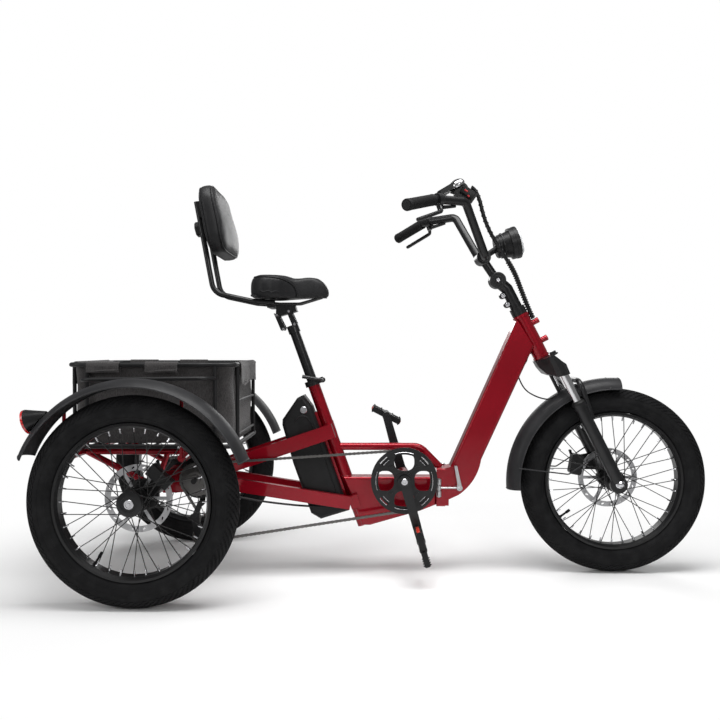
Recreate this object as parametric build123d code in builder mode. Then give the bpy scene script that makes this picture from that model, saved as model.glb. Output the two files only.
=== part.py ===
"""Folding electric tricycle: one steered front wheel, two rear wheels on a chain driven axle, and a rear basket.

Millimetres. +X is forward, +Y is the rider's left, +Z is up and the ground is Z = 0.
"""
from build123d import *
import os
from math import asin, atan2, cos, hypot, pi, radians, sin

os.makedirs("parts", exist_ok=True)

# ---- Driving dimensions ------------------------------------------------------------------------
wheelbase = 1338
half_track = 336
tyre_radius = 275
tyre_width = 76
tyre_height = 70        # tread above the rim's bead seat
rim_depth = 13
rim_half_width = 24
spoke_count = 36
spoke_thick = 2.4
rotor_radius = 90
rotor_thick = 2
running_fit = 0.05      # radial clearance of a shaft that turns in its bearing
rest_gap = 0.3          # between a soft or bolted piece and what carries it
swing_gap = 6           # between pieces that move past each other

rear_overhang = 286     # rear fender tips behind the rear axle
bracket_ahead = 710     # crank centre ahead of the rear axle
bracket_above = 9       # crank centre above the axle line
hinge_ahead = 834       # folding joint ahead of the rear axle
hinge_left = 46
hinge_low = -76         # foot and head of the folding joint, from the axle line
hinge_high = 38
knuckle_radius = 10
hinge_pin_radius = 4

head_angle = 27         # steering axis, back from vertical
fork_offset = 22
head_tube_length = 144
head_tube_radius = 23
steerer_radius = 14.3
leg_half_span = 65
leg_radius = 18
stanchion_radius = 13
bar_half_width = 300

seat_angle = 19.7       # seat tube, back from vertical
seat_ahead = 541        # seat tube axis at crank height, ahead of the rear axle
seat_tube_radius = 18
seat_tube_top = 306     # along the seat tube from crank height
seat_tube_low = -148
seat_post_radius = 15
saddle_height = 612     # top of the saddle above the axle line

crank_length = 180
crank_lean = 15.5       # right crank, forward of straight down
chain_line = 75
chainring_radius = 84
guard_radius = 97
jackshaft_ahead = 100
jackshaft_above = 10
motor_radius = 62

basket_back = -236
basket_front = 241
basket_floor = 116      # above the axle line
basket_top = 356
basket_half_width = 195
basket_tube = 13
liner_wall = 3

fender_clearance = 43    # from the tread to the rear fenders' crown
fender_skirt = 18
fender_half_width = 45
fender_wall = 3

# ---- Datum points --------------------------------------------------------------------------------
rear_x = -(wheelbase + tyre_radius - rear_overhang) / 2
front_x = rear_x + wheelbase
axle_z = tyre_radius


def rear(x, y, z):
    """A point x ahead of the rear axle, y to the left and z above the axle line."""
    return Vector(rear_x + x, y, axle_z + z)


steer_up = Vector(-sin(radians(head_angle)), 0, cos(radians(head_angle)))
steer_ahead = Vector(cos(radians(head_angle)), 0, sin(radians(head_angle)))
steer_foot = Vector(front_x, 0, axle_z) - steer_ahead * fork_offset


def steer(ahead, left, up):
    """A point in the fork's own directions, from the foot of the steering axis."""
    return steer_foot + steer_ahead * ahead + Vector(0, left, 0) + steer_up * up


def steer_plane(up):
    return Plane(origin=steer(0, 0, up), x_dir=steer_ahead, z_dir=steer_up)


seat_up = Vector(-sin(radians(seat_angle)), 0, cos(radians(seat_angle)))
seat_fore = Vector(cos(radians(seat_angle)), 0, sin(radians(seat_angle)))
seat_foot = rear(seat_ahead, 0, 3)


def seat(ahead, left, up):
    """A point in the seat tube's own directions, from the tube's axis at crank height."""
    return seat_foot + seat_fore * ahead + Vector(0, left, 0) + seat_up * up


def seat_plane(up):
    return Plane(origin=seat(0, 0, up), x_dir=seat_fore, z_dir=seat_up)


def side_plane(left, x=0, z=0):
    """A plane seen from the right: x forward, y up, standing at the given distance to the left."""
    return Plane(origin=rear(x, left, z), x_dir=(1, 0, 0), z_dir=(0, -1, 0))


def bent_tube(points, radius, bend):
    """Add a round tube along the points, with its corners bent to one radius."""
    with BuildLine() as route:
        if len(points) > 2:
            FilletPolyline(*points, radius=bend)
        else:
            Line(*points)
    with BuildSketch(Plane(origin=route.line @ 0, z_dir=route.line % 0)) as section:
        Circle(radius)
    sweep(sections=section.sketch, path=route.line)


def cross_rod(centre, radius, half_length, mode=Mode.ADD):
    """Add a rod that lies across the tricycle, centred on the point."""
    with BuildSketch(Plane(origin=centre, x_dir=(1, 0, 0), z_dir=(0, 1, 0))) as section:
        Circle(radius)
    extrude(section.sketch, amount=half_length, both=True, mode=mode)


# ---- Wheels ----------------------------------------------------------------------------------------
bead_half_width = rim_half_width - 4
tyre_section_radius = tyre_width / 2
fender_crown_radius = tyre_radius + fender_clearance
fender_edge_radius = fender_crown_radius - fender_skirt
tyre_section_centre = tyre_radius - tyre_section_radius
rim_seat_radius = tyre_radius - tyre_height
rim_inner_radius = rim_seat_radius - rim_depth
tyre_wall = 5
hub_flange_radius = 29
hub_core_radius = 17
rear_shaft_radius = 8.5
front_axle_radius = 6


def wheel_plane(axle_x, left, face):
    """A plane through a wheel's centre: x up along a radius, y outward across the wheel."""
    return Plane(origin=(axle_x, left, axle_z), x_dir=(0, 0, 1), z_dir=(-face, 0, 0))


def tyre_section():
    """Half-open section of a balloon tyre, in the radial and axial directions."""
    with BuildSketch() as section:
        with Locations((tyre_section_centre, 0)):
            Circle(tyre_section_radius)
            Circle(tyre_section_radius - tyre_wall, mode=Mode.SUBTRACT)
        with Locations((rim_seat_radius - 20, 0)):
            Rectangle(40, tyre_width, mode=Mode.SUBTRACT)
    return section.sketch


def rim_section():
    """Box section rim with a low wall on each side that traps the tyre's beads."""
    with BuildSketch() as section:
        with BuildLine():
            Polyline(
                (rim_inner_radius, -rim_half_width * 0.6),
                (rim_inner_radius + 6, -rim_half_width),
                (rim_seat_radius - rest_gap, -rim_half_width),
                (rim_seat_radius - rest_gap, rim_half_width),
                (rim_inner_radius + 6, rim_half_width),
                (rim_inner_radius, rim_half_width * 0.6),
                close=True,
            )
        make_face()
    return section.sketch


def make_wheel(prefix, axle_x, left, face, flange_span, bore_radius, core_ends, rotor_at):
    """Write one wheel's tyre, rim, spokes and hub; face is +1 where outboard is to the left.

    flange_span holds the two spoke flanges' places and core_ends the hub's two ends, both measured
    outward from the wheel's middle, and rotor_at is the brake disc's place on the same scale.
    """
    axis = Axis((axle_x, left, axle_z), (0, 1, 0))
    plane = wheel_plane(axle_x, left, face)

    with BuildPart() as tyre:
        with BuildSketch(plane):
            add(tyre_section())
        revolve(axis=axis)
    tyre.part.label = prefix + "_tyre"
    export_step(tyre.part, "parts/" + prefix + "_tyre.step")

    with BuildPart() as rim:
        with BuildSketch(plane):
            add(rim_section())
        revolve(axis=axis)
    rim.part.label = prefix + "_rim"
    export_step(rim.part, "parts/" + prefix + "_rim.step")

    low, high = core_ends
    with BuildPart() as hub:
        with BuildSketch(plane):
            with BuildLine():
                Polyline(
                    (bore_radius, low),
                    (hub_core_radius + 5, low),
                    (hub_core_radius + 5, flange_span[0] - 4),
                    (hub_flange_radius + 2.5, flange_span[0] - 2),
                    (hub_flange_radius + 2.5, flange_span[0] + 2),
                    (hub_core_radius, flange_span[0] + 2.6),
                    (hub_core_radius, flange_span[1] - 2.6),
                    (hub_flange_radius + 2.5, flange_span[1] - 2),
                    (hub_flange_radius + 2.5, flange_span[1] + 2),
                    (hub_core_radius + 5, flange_span[1] + 4),
                    (hub_core_radius + 5, high),
                    (bore_radius, high),
                    close=True,
                )
            make_face()
        revolve(axis=axis)
        rotor_place = Plane(origin=(axle_x, left + face * rotor_at, axle_z), x_dir=(1, 0, 0), z_dir=(0, 1, 0))
        with BuildSketch(rotor_place):
            Circle(rotor_radius)
            Circle(rotor_radius - 16, mode=Mode.SUBTRACT)
            with PolarLocations(rotor_radius - 8, 18):
                SlotOverall(9, 4, rotation=60, mode=Mode.SUBTRACT)
            Circle(hub_core_radius + 14)
            with PolarLocations((rotor_radius + hub_core_radius) / 2, 6):
                Rectangle(rotor_radius - hub_core_radius - 12, 9)
            Circle(hub_core_radius, mode=Mode.SUBTRACT)
        extrude(amount=rotor_thick / 2, both=True)
    hub.part.label = prefix + "_hub"
    export_step(hub.part, "parts/" + prefix + "_hub.step")

    head_step = 2 + spoke_thick / 2 + 1.5
    with BuildPart() as spokes:
        for index in range(spoke_count):
            side = index % 2
            turn = 360 / spoke_count * index
            cross = 62 if (index // 2) % 2 else -62
            start_angle = radians(turn + cross)
            rim_angle = radians(turn)
            start = Vector(
                axle_x + hub_flange_radius * cos(start_angle),
                left + face * (flange_span[side] + (head_step if (index // 2) % 2 else -head_step)),
                axle_z + hub_flange_radius * sin(start_angle),
            )
            reach = rim_inner_radius - rest_gap
            end = Vector(
                axle_x + reach * cos(rim_angle),
                left + face * (4 if side else -4),
                axle_z + reach * sin(rim_angle),
            )
            with BuildSketch(Plane(origin=start, z_dir=end - start)) as section:
                Circle(spoke_thick / 2)
            extrude(section.sketch, amount=(end - start).length)
    spokes.part.label = prefix + "_spokes"
    export_step(spokes.part, "parts/" + prefix + "_spokes.step")


make_wheel("front", front_x, 0, 1, (-27, 27), front_axle_radius + running_fit, (-46, 46), 42)
for side_name, side in (("left", 1), ("right", -1)):
    make_wheel("rear_" + side_name, rear_x, side * half_track, side, (-24, 22), rear_shaft_radius, (-44, 30), -42)

# ---- Folding frame, rear half ----------------------------------------------------------------------
beam_half_width = 28
beam_top = 11           # above the axle line
shell_radius = 21
shell_half_width = 36.5
spindle_radius = 8
stay_inner = 47
stay_thick = 16
stay_height = 42
stay_outer = stay_inner + stay_thick
rail_radius = 11.5
hinge_plate_half = 34
hinge_plate_thick = 26
hinge_slit = 0.3
pin_gap = 0.5           # round the folding joint's knuckles

with BuildPart() as seat_tube:
    with BuildSketch(seat_plane(seat_tube_low)):
        Circle(seat_tube_radius)
    extrude(amount=seat_tube_top - seat_tube_low)
    with BuildSketch(seat_plane(150)):
        Circle(seat_post_radius + running_fit)
    extrude(amount=seat_tube_top - 150, mode=Mode.SUBTRACT)
seat_tube.part.label = "seat_tube"
export_step(seat_tube.part, "parts/seat_tube.step")


def cope_to_seat_tube():
    """Cut the part being built to the seat tube's outside."""
    with BuildSketch(seat_plane(seat_tube_low)) as core:
        Circle(seat_tube_radius)
    extrude(core.sketch, amount=seat_tube_top - seat_tube_low, mode=Mode.SUBTRACT)


knuckle_split = (hinge_high - hinge_low) / 3
rear_knuckles = ((hinge_low, hinge_low + knuckle_split - 1), (hinge_high - knuckle_split + 1, hinge_high))
front_knuckle = (hinge_low + knuckle_split, hinge_high - knuckle_split)


def knuckle_posts(spans, radius, mode=Mode.ADD):
    """Add round posts on the folding axis over each height span."""
    for low, high in spans:
        with BuildSketch(Plane(origin=rear(hinge_ahead, hinge_left, low), z_dir=(0, 0, 1))) as post:
            Circle(radius)
        extrude(post.sketch, amount=high - low, mode=mode)


with BuildPart() as lower_beam:
    with BuildSketch(side_plane(0)):
        with BuildLine():
            Polyline(
                (seat_ahead - 12, beam_top),
                (hinge_ahead - hinge_plate_thick, beam_top),
                (hinge_ahead - hinge_plate_thick, hinge_low + 4),
                (760, -91),
                (610, -134),
                (586, -134),
                close=True,
            )
        make_face()
    extrude(amount=beam_half_width, both=True)
    fillet(lower_beam.edges().filter_by(lambda e: abs(abs(e.center().Y) - beam_half_width) < 0.1), radius=7)
    with BuildSketch(Plane(origin=rear(hinge_ahead - hinge_plate_thick, 0, 0), x_dir=(0, 1, 0), z_dir=(1, 0, 0))):
        with Locations(((hinge_left - hinge_plate_half) / 2, (hinge_low + hinge_high) / 2)):
            RectangleRounded(hinge_left + hinge_plate_half, hinge_high - hinge_low, 6)
    extrude(amount=hinge_plate_thick)
    cross_rod(rear(bracket_ahead, 0, bracket_above), shell_radius, shell_half_width)
    cross_rod(rear(bracket_ahead, 0, bracket_above), spindle_radius + running_fit, 60, mode=Mode.SUBTRACT)
    knuckle_posts((front_knuckle,), knuckle_radius + pin_gap, Mode.SUBTRACT)
    knuckle_posts(rear_knuckles, knuckle_radius)
    knuckle_posts(((front_knuckle[0] - 1, front_knuckle[1] + 1),), hinge_pin_radius)
    cope_to_seat_tube()
lower_beam.part.label = "lower_beam"
export_step(lower_beam.part, "parts/lower_beam.step")

with BuildPart() as top_rail:
    bent_tube(
        [rear(520, 0, 99), rear(760, 0, 99), rear(hinge_ahead - hinge_plate_thick / 2, 0, hinge_high - 2)],
        rail_radius,
        45,
    )
    cope_to_seat_tube()
    add(lower_beam.part, mode=Mode.SUBTRACT)
top_rail.part.label = "top_rail"
export_step(top_rail.part, "parts/top_rail.step")


def side_slab(corners, middle, thick):
    """Add a flat plate that stands along the tricycle; corners are (ahead, above) from the rear axle."""
    with BuildSketch(side_plane(middle)) as outline:
        with BuildLine():
            Polyline(*corners, close=True)
        make_face()
    extrude(outline.sketch, amount=thick / 2, both=True)


def stay_pair(front, back, height, lug_up):
    """Add two flat sided stays, one on each side, and the lugs that join them to the seat tube."""
    slope = atan2(front[1] - back[1], front[0] - back[0])
    rise = (-sin(slope) * height / 2, cos(slope) * height / 2)
    corners = [
        (front[0] + rise[0], front[1] + rise[1]),
        (back[0] + rise[0], back[1] + rise[1]),
        (back[0] - rise[0], back[1] - rise[1]),
        (front[0] - rise[0], front[1] - rise[1]),
    ]
    for side in (1, -1):
        side_slab(corners, side * (stay_inner + stay_outer) / 2, stay_thick)
    with BuildSketch(seat_plane(lug_up - height / 2)) as lug:
        Rectangle(2 * seat_tube_radius - 8, 2 * stay_inner + 2)
    extrude(lug.sketch, amount=height)


with BuildPart() as upper_stays:
    stay_pair((502, 153), (130, 26), stay_height, 154)
    cope_to_seat_tube()
upper_stays.part.label = "upper_stays"
export_step(upper_stays.part, "parts/upper_stays.step")

shaft_radius = 8
axle_tube_radius = 21
bearing_gap = 1
axle_tube_end = 268

with BuildPart() as axle_tube:
    cross_rod(rear(0, 0, 0), axle_tube_radius, axle_tube_end)
    for side in (1, -1):
        with BuildSketch(side_plane(side * (axle_tube_end - 5))):
            Circle(46)
        extrude(amount=5, both=True)
    cross_rod(rear(0, 0, 0), rear_shaft_radius + running_fit, axle_tube_end + 5, mode=Mode.SUBTRACT)
    with BuildSketch(side_plane(75)):
        Circle(60)
    extrude(amount=10, both=True, mode=Mode.SUBTRACT)
axle_tube.part.label = "axle_tube"
export_step(axle_tube.part, "parts/axle_tube.step")

with BuildPart() as lower_stays:
    stay_pair((553, -61), (100, 10), stay_height - 4, -67)
    for side in (1, -1):
        dropout = [(150, 6), (128, -26), (0, -32), (-30, 0), (0, 32), (100, 44), (120, 40)]
        side_slab(dropout, side * (stay_inner + stay_outer) / 2, stay_thick - 6)
    cross_rod(rear(jackshaft_ahead, 0, jackshaft_above), shaft_radius, 200, mode=Mode.SUBTRACT)
    add(upper_stays.part, mode=Mode.SUBTRACT)
    cope_to_seat_tube()
    add(lower_beam.part, mode=Mode.SUBTRACT)
    cross_rod(rear(0, 0, 0), axle_tube_radius, 200, mode=Mode.SUBTRACT)
lower_stays.part.label = "lower_stays"
export_step(lower_stays.part, "parts/lower_stays.step")

# ---- Rear subframe, drive and brakes ---------------------------------------------------------------
subframe_rail = 11
subframe_half_width = 150
subframe_level = basket_floor - subframe_rail - rest_gap
subframe_back = -200
subframe_front = 112
strut_radius = 8
fender_inner = half_track - fender_half_width
fender_strut = 5

with BuildPart() as rear_subframe:
    for side in (1, -1):
        y = side * subframe_half_width
        bent_tube([rear(subframe_back, y, subframe_level), rear(subframe_front, y, subframe_level)], subframe_rail - 1, 0)
        bent_tube([rear(subframe_back + 6, y, subframe_level), rear(-14, y, 12)], subframe_rail - 2, 0)
        bent_tube([rear(40, y, subframe_level), rear(6, y, 12)], strut_radius, 0)
        bent_tube(
            [
                rear(subframe_front - 12, side * (stay_inner + stay_outer) / 2, subframe_level),
                rear(subframe_front + 60, side * (stay_inner + stay_outer) / 2, 44),
            ],
            strut_radius - 1,
            0,
        )
    for x in (subframe_back, subframe_front):
        cross_rod(rear(x, 0, subframe_level), subframe_rail, fender_inner - fender_strut - rest_gap)
        strut_top = (fender_edge_radius**2 - x**2) ** 0.5 + 8
        for side in (1, -1):
            y = side * (fender_inner - fender_strut - rest_gap)
            bent_tube([rear(x, y, subframe_level), rear(x, y, strut_top)], fender_strut, 0)
    add(axle_tube.part, mode=Mode.SUBTRACT)
    add(upper_stays.part, mode=Mode.SUBTRACT)
rear_subframe.part.label = "rear_subframe"
export_step(rear_subframe.part, "parts/rear_subframe.step")

motor_half_width = stay_inner - 4
final_drive_left = 75   # the chain from the motor shaft to the differential
final_sprocket = 28
with BuildPart() as drive_motor:
    cross_rod(rear(jackshaft_ahead, 0, jackshaft_above), motor_radius, motor_half_width)
    fillet(drive_motor.edges(), radius=8)
    cross_rod(rear(jackshaft_ahead, 0, jackshaft_above), shaft_radius, stay_outer + 42)
    cross_rod(rear(jackshaft_ahead, final_drive_left, jackshaft_above), final_sprocket, 1.2)
drive_motor.part.label = "drive_motor"
export_step(drive_motor.part, "parts/drive_motor.step")

sprocket_pitch = 4.6
driven_sprocket = 2     # the sprocket that the chain is on
cassette_inner = chain_line - 0.5 - sprocket_pitch * driven_sprocket
sprocket_radii = (50, 45, 41, 37, 33, 30, 27)

with BuildPart() as cassette:
    for index, radius in enumerate(sprocket_radii):
        with BuildSketch(side_plane(-(cassette_inner + sprocket_pitch * index), jackshaft_ahead, jackshaft_above)):
            Circle(radius)
        extrude(amount=1)
    with BuildSketch(side_plane(-(cassette_inner - 1), jackshaft_ahead, jackshaft_above)):
        Circle(17)
    extrude(amount=sprocket_pitch * len(sprocket_radii) + 1)
    cross_rod(rear(jackshaft_ahead, 0, jackshaft_above), shaft_radius, 120, mode=Mode.SUBTRACT)
cassette.part.label = "cassette"
export_step(cassette.part, "parts/cassette.step")

diff_radius = 42
diff_sprocket = diff_radius + 8
with BuildPart() as differential:
    cross_rod(rear(0, final_drive_left, 0), diff_radius, 8)
    cross_rod(rear(0, final_drive_left, 0), diff_sprocket, 1.2)
    cross_rod(rear(0, final_drive_left, 0), axle_tube_radius, 10 - rest_gap)
    cross_rod(rear(0, 0, 0), rear_shaft_radius + running_fit, 120, mode=Mode.SUBTRACT)
differential.part.label = "differential"
export_step(differential.part, "parts/differential.step")

# ---- Chains and derailleur -------------------------------------------------------------------------
chain_half_width = 3.5
chain_half_height = 4
pulley_radius = 12
lower_pulley = (108, -158)
upper_pulley = (96, -100)


def chain_reach(sprocket):
    """Radius of the chain's middle where it wraps a sprocket."""
    return sprocket + rest_gap + chain_half_height


def chain_loop(wheels, left):
    """Add a closed chain round wheels given as (ahead, above, radius), clockwise from the right.

    A radius above zero is a wheel that the chain turns the other way.
    """
    meets = [None] * len(wheels)
    leaves = [None] * len(wheels)
    for index, wheel in enumerate(wheels):
        following = (index + 1) % len(wheels)
        goal = wheels[following]
        across = goal[0] - wheel[0]
        rise = goal[1] - wheel[1]
        heading = atan2(rise, across) - asin((goal[2] - wheel[2]) / hypot(across, rise))
        leaves[index] = (wheel[0] + wheel[2] * sin(heading), wheel[1] - wheel[2] * cos(heading))
        meets[following] = (goal[0] + goal[2] * sin(heading), goal[1] - goal[2] * cos(heading))
    with BuildSketch(side_plane(left)) as band:
        with BuildLine() as route:
            for index, wheel in enumerate(wheels):
                start = atan2(meets[index][1] - wheel[1], meets[index][0] - wheel[0])
                end = atan2(leaves[index][1] - wheel[1], leaves[index][0] - wheel[0])
                turn = (end - start) % (2 * pi)
                if wheel[2] < 0:
                    turn = turn - 2 * pi
                middle = start + turn / 2
                radius = abs(wheel[2])
                ThreePointArc(
                    meets[index],
                    (wheel[0] + radius * cos(middle), wheel[1] + radius * sin(middle)),
                    leaves[index],
                )
                Line(leaves[index], meets[(index + 1) % len(wheels)])
        trace(route.line, line_width=2 * chain_half_height)
    extrude(band.sketch, amount=chain_half_width, both=True)


with BuildPart() as drive_chain:
    chain_loop(
        [
            (bracket_ahead, bracket_above, -chain_reach(chainring_radius)),
            (*lower_pulley, -chain_reach(pulley_radius)),
            (*upper_pulley, chain_reach(pulley_radius)),
            (jackshaft_ahead, jackshaft_above, -chain_reach(sprocket_radii[driven_sprocket])),
        ],
        -chain_line,
    )
drive_chain.part.label = "drive_chain"
export_step(drive_chain.part, "parts/drive_chain.step")

with BuildPart() as axle_chain:
    chain_loop(
        [
            (jackshaft_ahead, jackshaft_above, -chain_reach(final_sprocket)),
            (0, 0, -chain_reach(diff_sprocket)),
        ],
        final_drive_left,
    )
axle_chain.part.label = "axle_chain"
export_step(axle_chain.part, "parts/axle_chain.step")

cage_half_span = chain_half_width + 1.7
cage_thick = 1.6
derailleur_knuckle = (116, -58)
hanger_left = -62
with BuildPart() as rear_derailleur:
    side_slab([(106, -20), (128, -18), (124, -58), (108, -58)], hanger_left, 4)
    cross_rod(rear(derailleur_knuckle[0], (hanger_left + 2 - 86) / 2, derailleur_knuckle[1]), 9, (86 + hanger_left - 2) / 2)
    side_slab([(124, -54), (108, -52), (88, -100), (104, -106)], -84, 4)
    for left in (-chain_line - cage_half_span, -chain_line + cage_half_span):
        side_slab([(84, -92), (108, -94), (118, -154), (112, -168), (100, -166)], left, cage_thick)
    for ahead, above in (upper_pulley, lower_pulley):
        cross_rod(rear(ahead, -chain_line, above), pulley_radius, 1.2)
        cross_rod(rear(ahead, -chain_line - 2, above), 3, 9)
rear_derailleur.part.label = "rear_derailleur"
export_step(rear_derailleur.part, "parts/rear_derailleur.step")

rotor_inset = 42        # brake disc, from the rear wheel's middle towards the frame
caliper_back = 19       # caliper's depth away from the wheel and towards it
caliper_front = 12
pad_gap = 1.5
with BuildPart() as rear_calipers:
    for side in (1, -1):
        rotor_left = side * (half_track - rotor_inset)
        body_left = rotor_left + side * (caliper_front - caliper_back) / 2
        side_slab([(20, 66), (72, 22), (92, 44), (40, 92)], body_left, caliper_back + caliper_front)
        with BuildSketch(side_plane(rotor_left)):
            Circle(rotor_radius + 2)
        extrude(amount=rotor_thick / 2 + pad_gap, both=True, mode=Mode.SUBTRACT)
        side_slab([(10, 44), (44, 10), (66, 34), (34, 66)], side * (axle_tube_end + rest_gap + 4), 8)
rear_calipers.part.label = "rear_calipers"
export_step(rear_calipers.part, "parts/rear_calipers.step")

# ---- Fenders and tail lights -----------------------------------------------------------------------
fender_front_angle = 20
fender_back_angle = 158


def fender_band(axle, left, edge, crown, half_width, wall, low_angle, high_angle):
    """Add a wheel's fender: a shallow arched strip turned about the axle from one angle to the other."""
    start = Vector(cos(radians(low_angle)), 0, sin(radians(low_angle)))
    plane = Plane(origin=axle + Vector(0, left, 0), x_dir=start, z_dir=start.cross(Vector(0, 1, 0)))
    with BuildSketch(plane) as strip:
        with BuildLine():
            ThreePointArc((edge, -half_width), (crown, 0), (edge, half_width))
            Line((edge, half_width), (edge - wall, half_width))
            ThreePointArc((edge - wall, half_width), (crown - wall, 0), (edge - wall, -half_width))
            Line((edge - wall, -half_width), (edge, -half_width))
        make_face()
    axis = Axis(tuple(axle), (0, -1, 0))
    revolve(strip.sketch, axis=axis, revolution_arc=high_angle - low_angle)


fenders = {}
for side_name, side in (("left", 1), ("right", -1)):
    with BuildPart() as fender:
        fender_band(
            rear(0, 0, 0),
            side * half_track,
            fender_edge_radius,
            fender_crown_radius,
            fender_half_width,
            fender_wall,
            fender_front_angle,
            fender_back_angle,
        )
    fender.part.label = "rear_fender_" + side_name
    fenders[side] = fender.part
    export_step(fender.part, "parts/rear_fender_" + side_name + ".step")

with BuildPart() as tail_lights:
    for side in (1, -1):
        lamp = Plane(origin=rear(-222, side * half_track, 222), x_dir=(0, 1, 0), z_dir=(-0.95, 0, -0.3))
        with BuildSketch(lamp):
            Circle(12)
        with BuildSketch(lamp.offset(52)):
            Circle(32)
        loft()
        with BuildSketch(lamp.offset(52)):
            Circle(32)
        extrude(amount=6)
    with BuildSketch(Plane.XZ.offset(-450)):
        with Locations((rear_x, axle_z)):
            Circle(fender_crown_radius + 1)
    extrude(amount=900, mode=Mode.SUBTRACT)
tail_lights.part.label = "tail_lights"
export_step(tail_lights.part, "parts/tail_lights.step")

# ---- Battery ---------------------------------------------------------------------------------------
battery_half_width = 41
battery_front = -seat_tube_radius - 6
battery_back = -134
battery_low = -88
battery_high = 281

with BuildPart() as battery:
    side_of_seat = Plane(origin=seat(0, 0, 0), x_dir=seat_fore, z_dir=(0, -1, 0))
    with BuildSketch(side_of_seat):
        with BuildLine():
            Polyline(
                (battery_front, battery_high - 40),
                (battery_front - 12, battery_high),
                (battery_front - 34, battery_high - 2),
                (battery_back + 14, battery_high - 47),
                (battery_back + 8, battery_high - 62),
                (battery_back, battery_high - 180),
                (battery_back, battery_low + 30),
                (battery_back + 22, battery_low + 4),
                (battery_front, battery_low),
                close=True,
            )
        make_face()
    extrude(amount=battery_half_width, both=True)
    rims = battery.faces().filter_by(Axis.Y).edges()
    fillet(rims, radius=12)
battery.part.label = "battery"
export_step(battery.part, "parts/battery.step")

with BuildPart() as battery_rail:
    with BuildSketch(seat_plane(battery_low + 20)):
        with Locations(((battery_front - seat_tube_radius) / 2 - 0.2, 0)):
            Rectangle(-battery_front - seat_tube_radius + 3, 2 * seat_tube_radius - 2)
    extrude(amount=battery_high - battery_low - 80)
    cope_to_seat_tube()
    add(battery.part, mode=Mode.SUBTRACT)
    add(lower_stays.part, mode=Mode.SUBTRACT)
    add(upper_stays.part, mode=Mode.SUBTRACT)
battery_rail.part.label = "battery_rail"
export_step(battery_rail.part, "parts/battery_rail.step")

# ---- Seat ------------------------------------------------------------------------------------------
post_top = 466
clamp_half_height = 8
with BuildPart() as seat_clamp:
    with BuildSketch(seat_plane(seat_tube_top - clamp_half_height)):
        Circle(seat_tube_radius + 6)
        with Locations((seat_tube_radius + 6, 0)):
            Rectangle(18, 18)
        Circle(seat_tube_radius + running_fit, mode=Mode.SUBTRACT)
    extrude(amount=2 * clamp_half_height)
    with BuildSketch(seat_plane(seat_tube_top)):
        Circle(seat_tube_radius + 6)
        Circle(seat_post_radius + running_fit, mode=Mode.SUBTRACT)
    extrude(amount=clamp_half_height)
seat_clamp.part.label = "seat_clamp"
export_step(seat_clamp.part, "parts/seat_clamp.step")

rail_half_span = 22
saddle_rail_level = 522 # above the axle line
with BuildPart() as seat_post:
    with BuildSketch(seat_plane(160)):
        Circle(seat_post_radius)
    extrude(amount=post_top - 160)
    with BuildSketch(seat_plane(post_top)):
        Circle(seat_post_radius + 3)
    extrude(amount=24)
    for side in (1, -1):
        side_slab(
            [
                (358, saddle_rail_level - 66),
                (338, saddle_rail_level - 26),
                (322, saddle_rail_level - 22),
                (344, saddle_rail_level - 74),
            ],
            side * 18,
            6,
        )
        side_slab(
            [
                (392, saddle_rail_level - 52),
                (374, saddle_rail_level - 12),
                (358, saddle_rail_level - 12),
                (378, saddle_rail_level - 60),
            ],
            side * 18,
            6,
        )
    with BuildSketch(side_plane(0)):
        with BuildLine():
            Polyline(
                (328, saddle_rail_level - 34),
                (392, saddle_rail_level - 16),
                (386, saddle_rail_level + 2.8),
                (330, saddle_rail_level + 2.8),
                close=True,
            )
        make_face()
    extrude(amount=rail_half_span, both=True)
seat_post.part.label = "seat_post"
export_step(seat_post.part, "parts/seat_post.step")

saddle_back = 246
saddle_nose = 496
with BuildPart() as saddle_base:
    for side in (1, -1):
        bent_tube(
            [
                rear(saddle_back + 34, side * 40, saddle_rail_level + 26),
                rear(312, side * rail_half_span, saddle_rail_level + 6.6),
                rear(400, side * rail_half_span, saddle_rail_level + 6.6),
                rear(saddle_nose - 30, side * 12, saddle_rail_level + 26),
            ],
            3.5,
            30,
        )
    with BuildSketch(Plane.XY.offset(axle_z + saddle_rail_level + 24)):
        with BuildLine():
            Polyline(
                (rear_x + saddle_back + 18, 88),
                (rear_x + 330, 70),
                (rear_x + 400, 24),
                (rear_x + saddle_nose - 16, 14),
                (rear_x + saddle_nose - 16, -14),
                (rear_x + 400, -24),
                (rear_x + 330, -70),
                (rear_x + saddle_back + 18, -88),
                close=True,
            )
        make_face()
    extrude(amount=5)
saddle_base.part.label = "saddle_base"
export_step(saddle_base.part, "parts/saddle_base.step")

with BuildPart() as saddle:
    with BuildSketch(Plane.XY.offset(axle_z + saddle_rail_level + 29 + rest_gap)):
        with BuildLine():
            Spline(
                (rear_x + saddle_back, 0),
                (rear_x + saddle_back + 14, 80),
                (rear_x + saddle_back + 60, 108),
                (rear_x + saddle_back + 120, 66),
                (rear_x + saddle_back + 170, 28),
                (rear_x + saddle_nose - 18, 20),
                (rear_x + saddle_nose, 0),
                tangents=((0, 1, 0), (0, -1, 0)),
            )
            mirror(about=Plane.XZ)
        make_face()
    extrude(amount=saddle_height - saddle_rail_level - 29 - rest_gap)
saddle.part.label = "saddle"
export_step(saddle.part, "parts/saddle.step")

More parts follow.
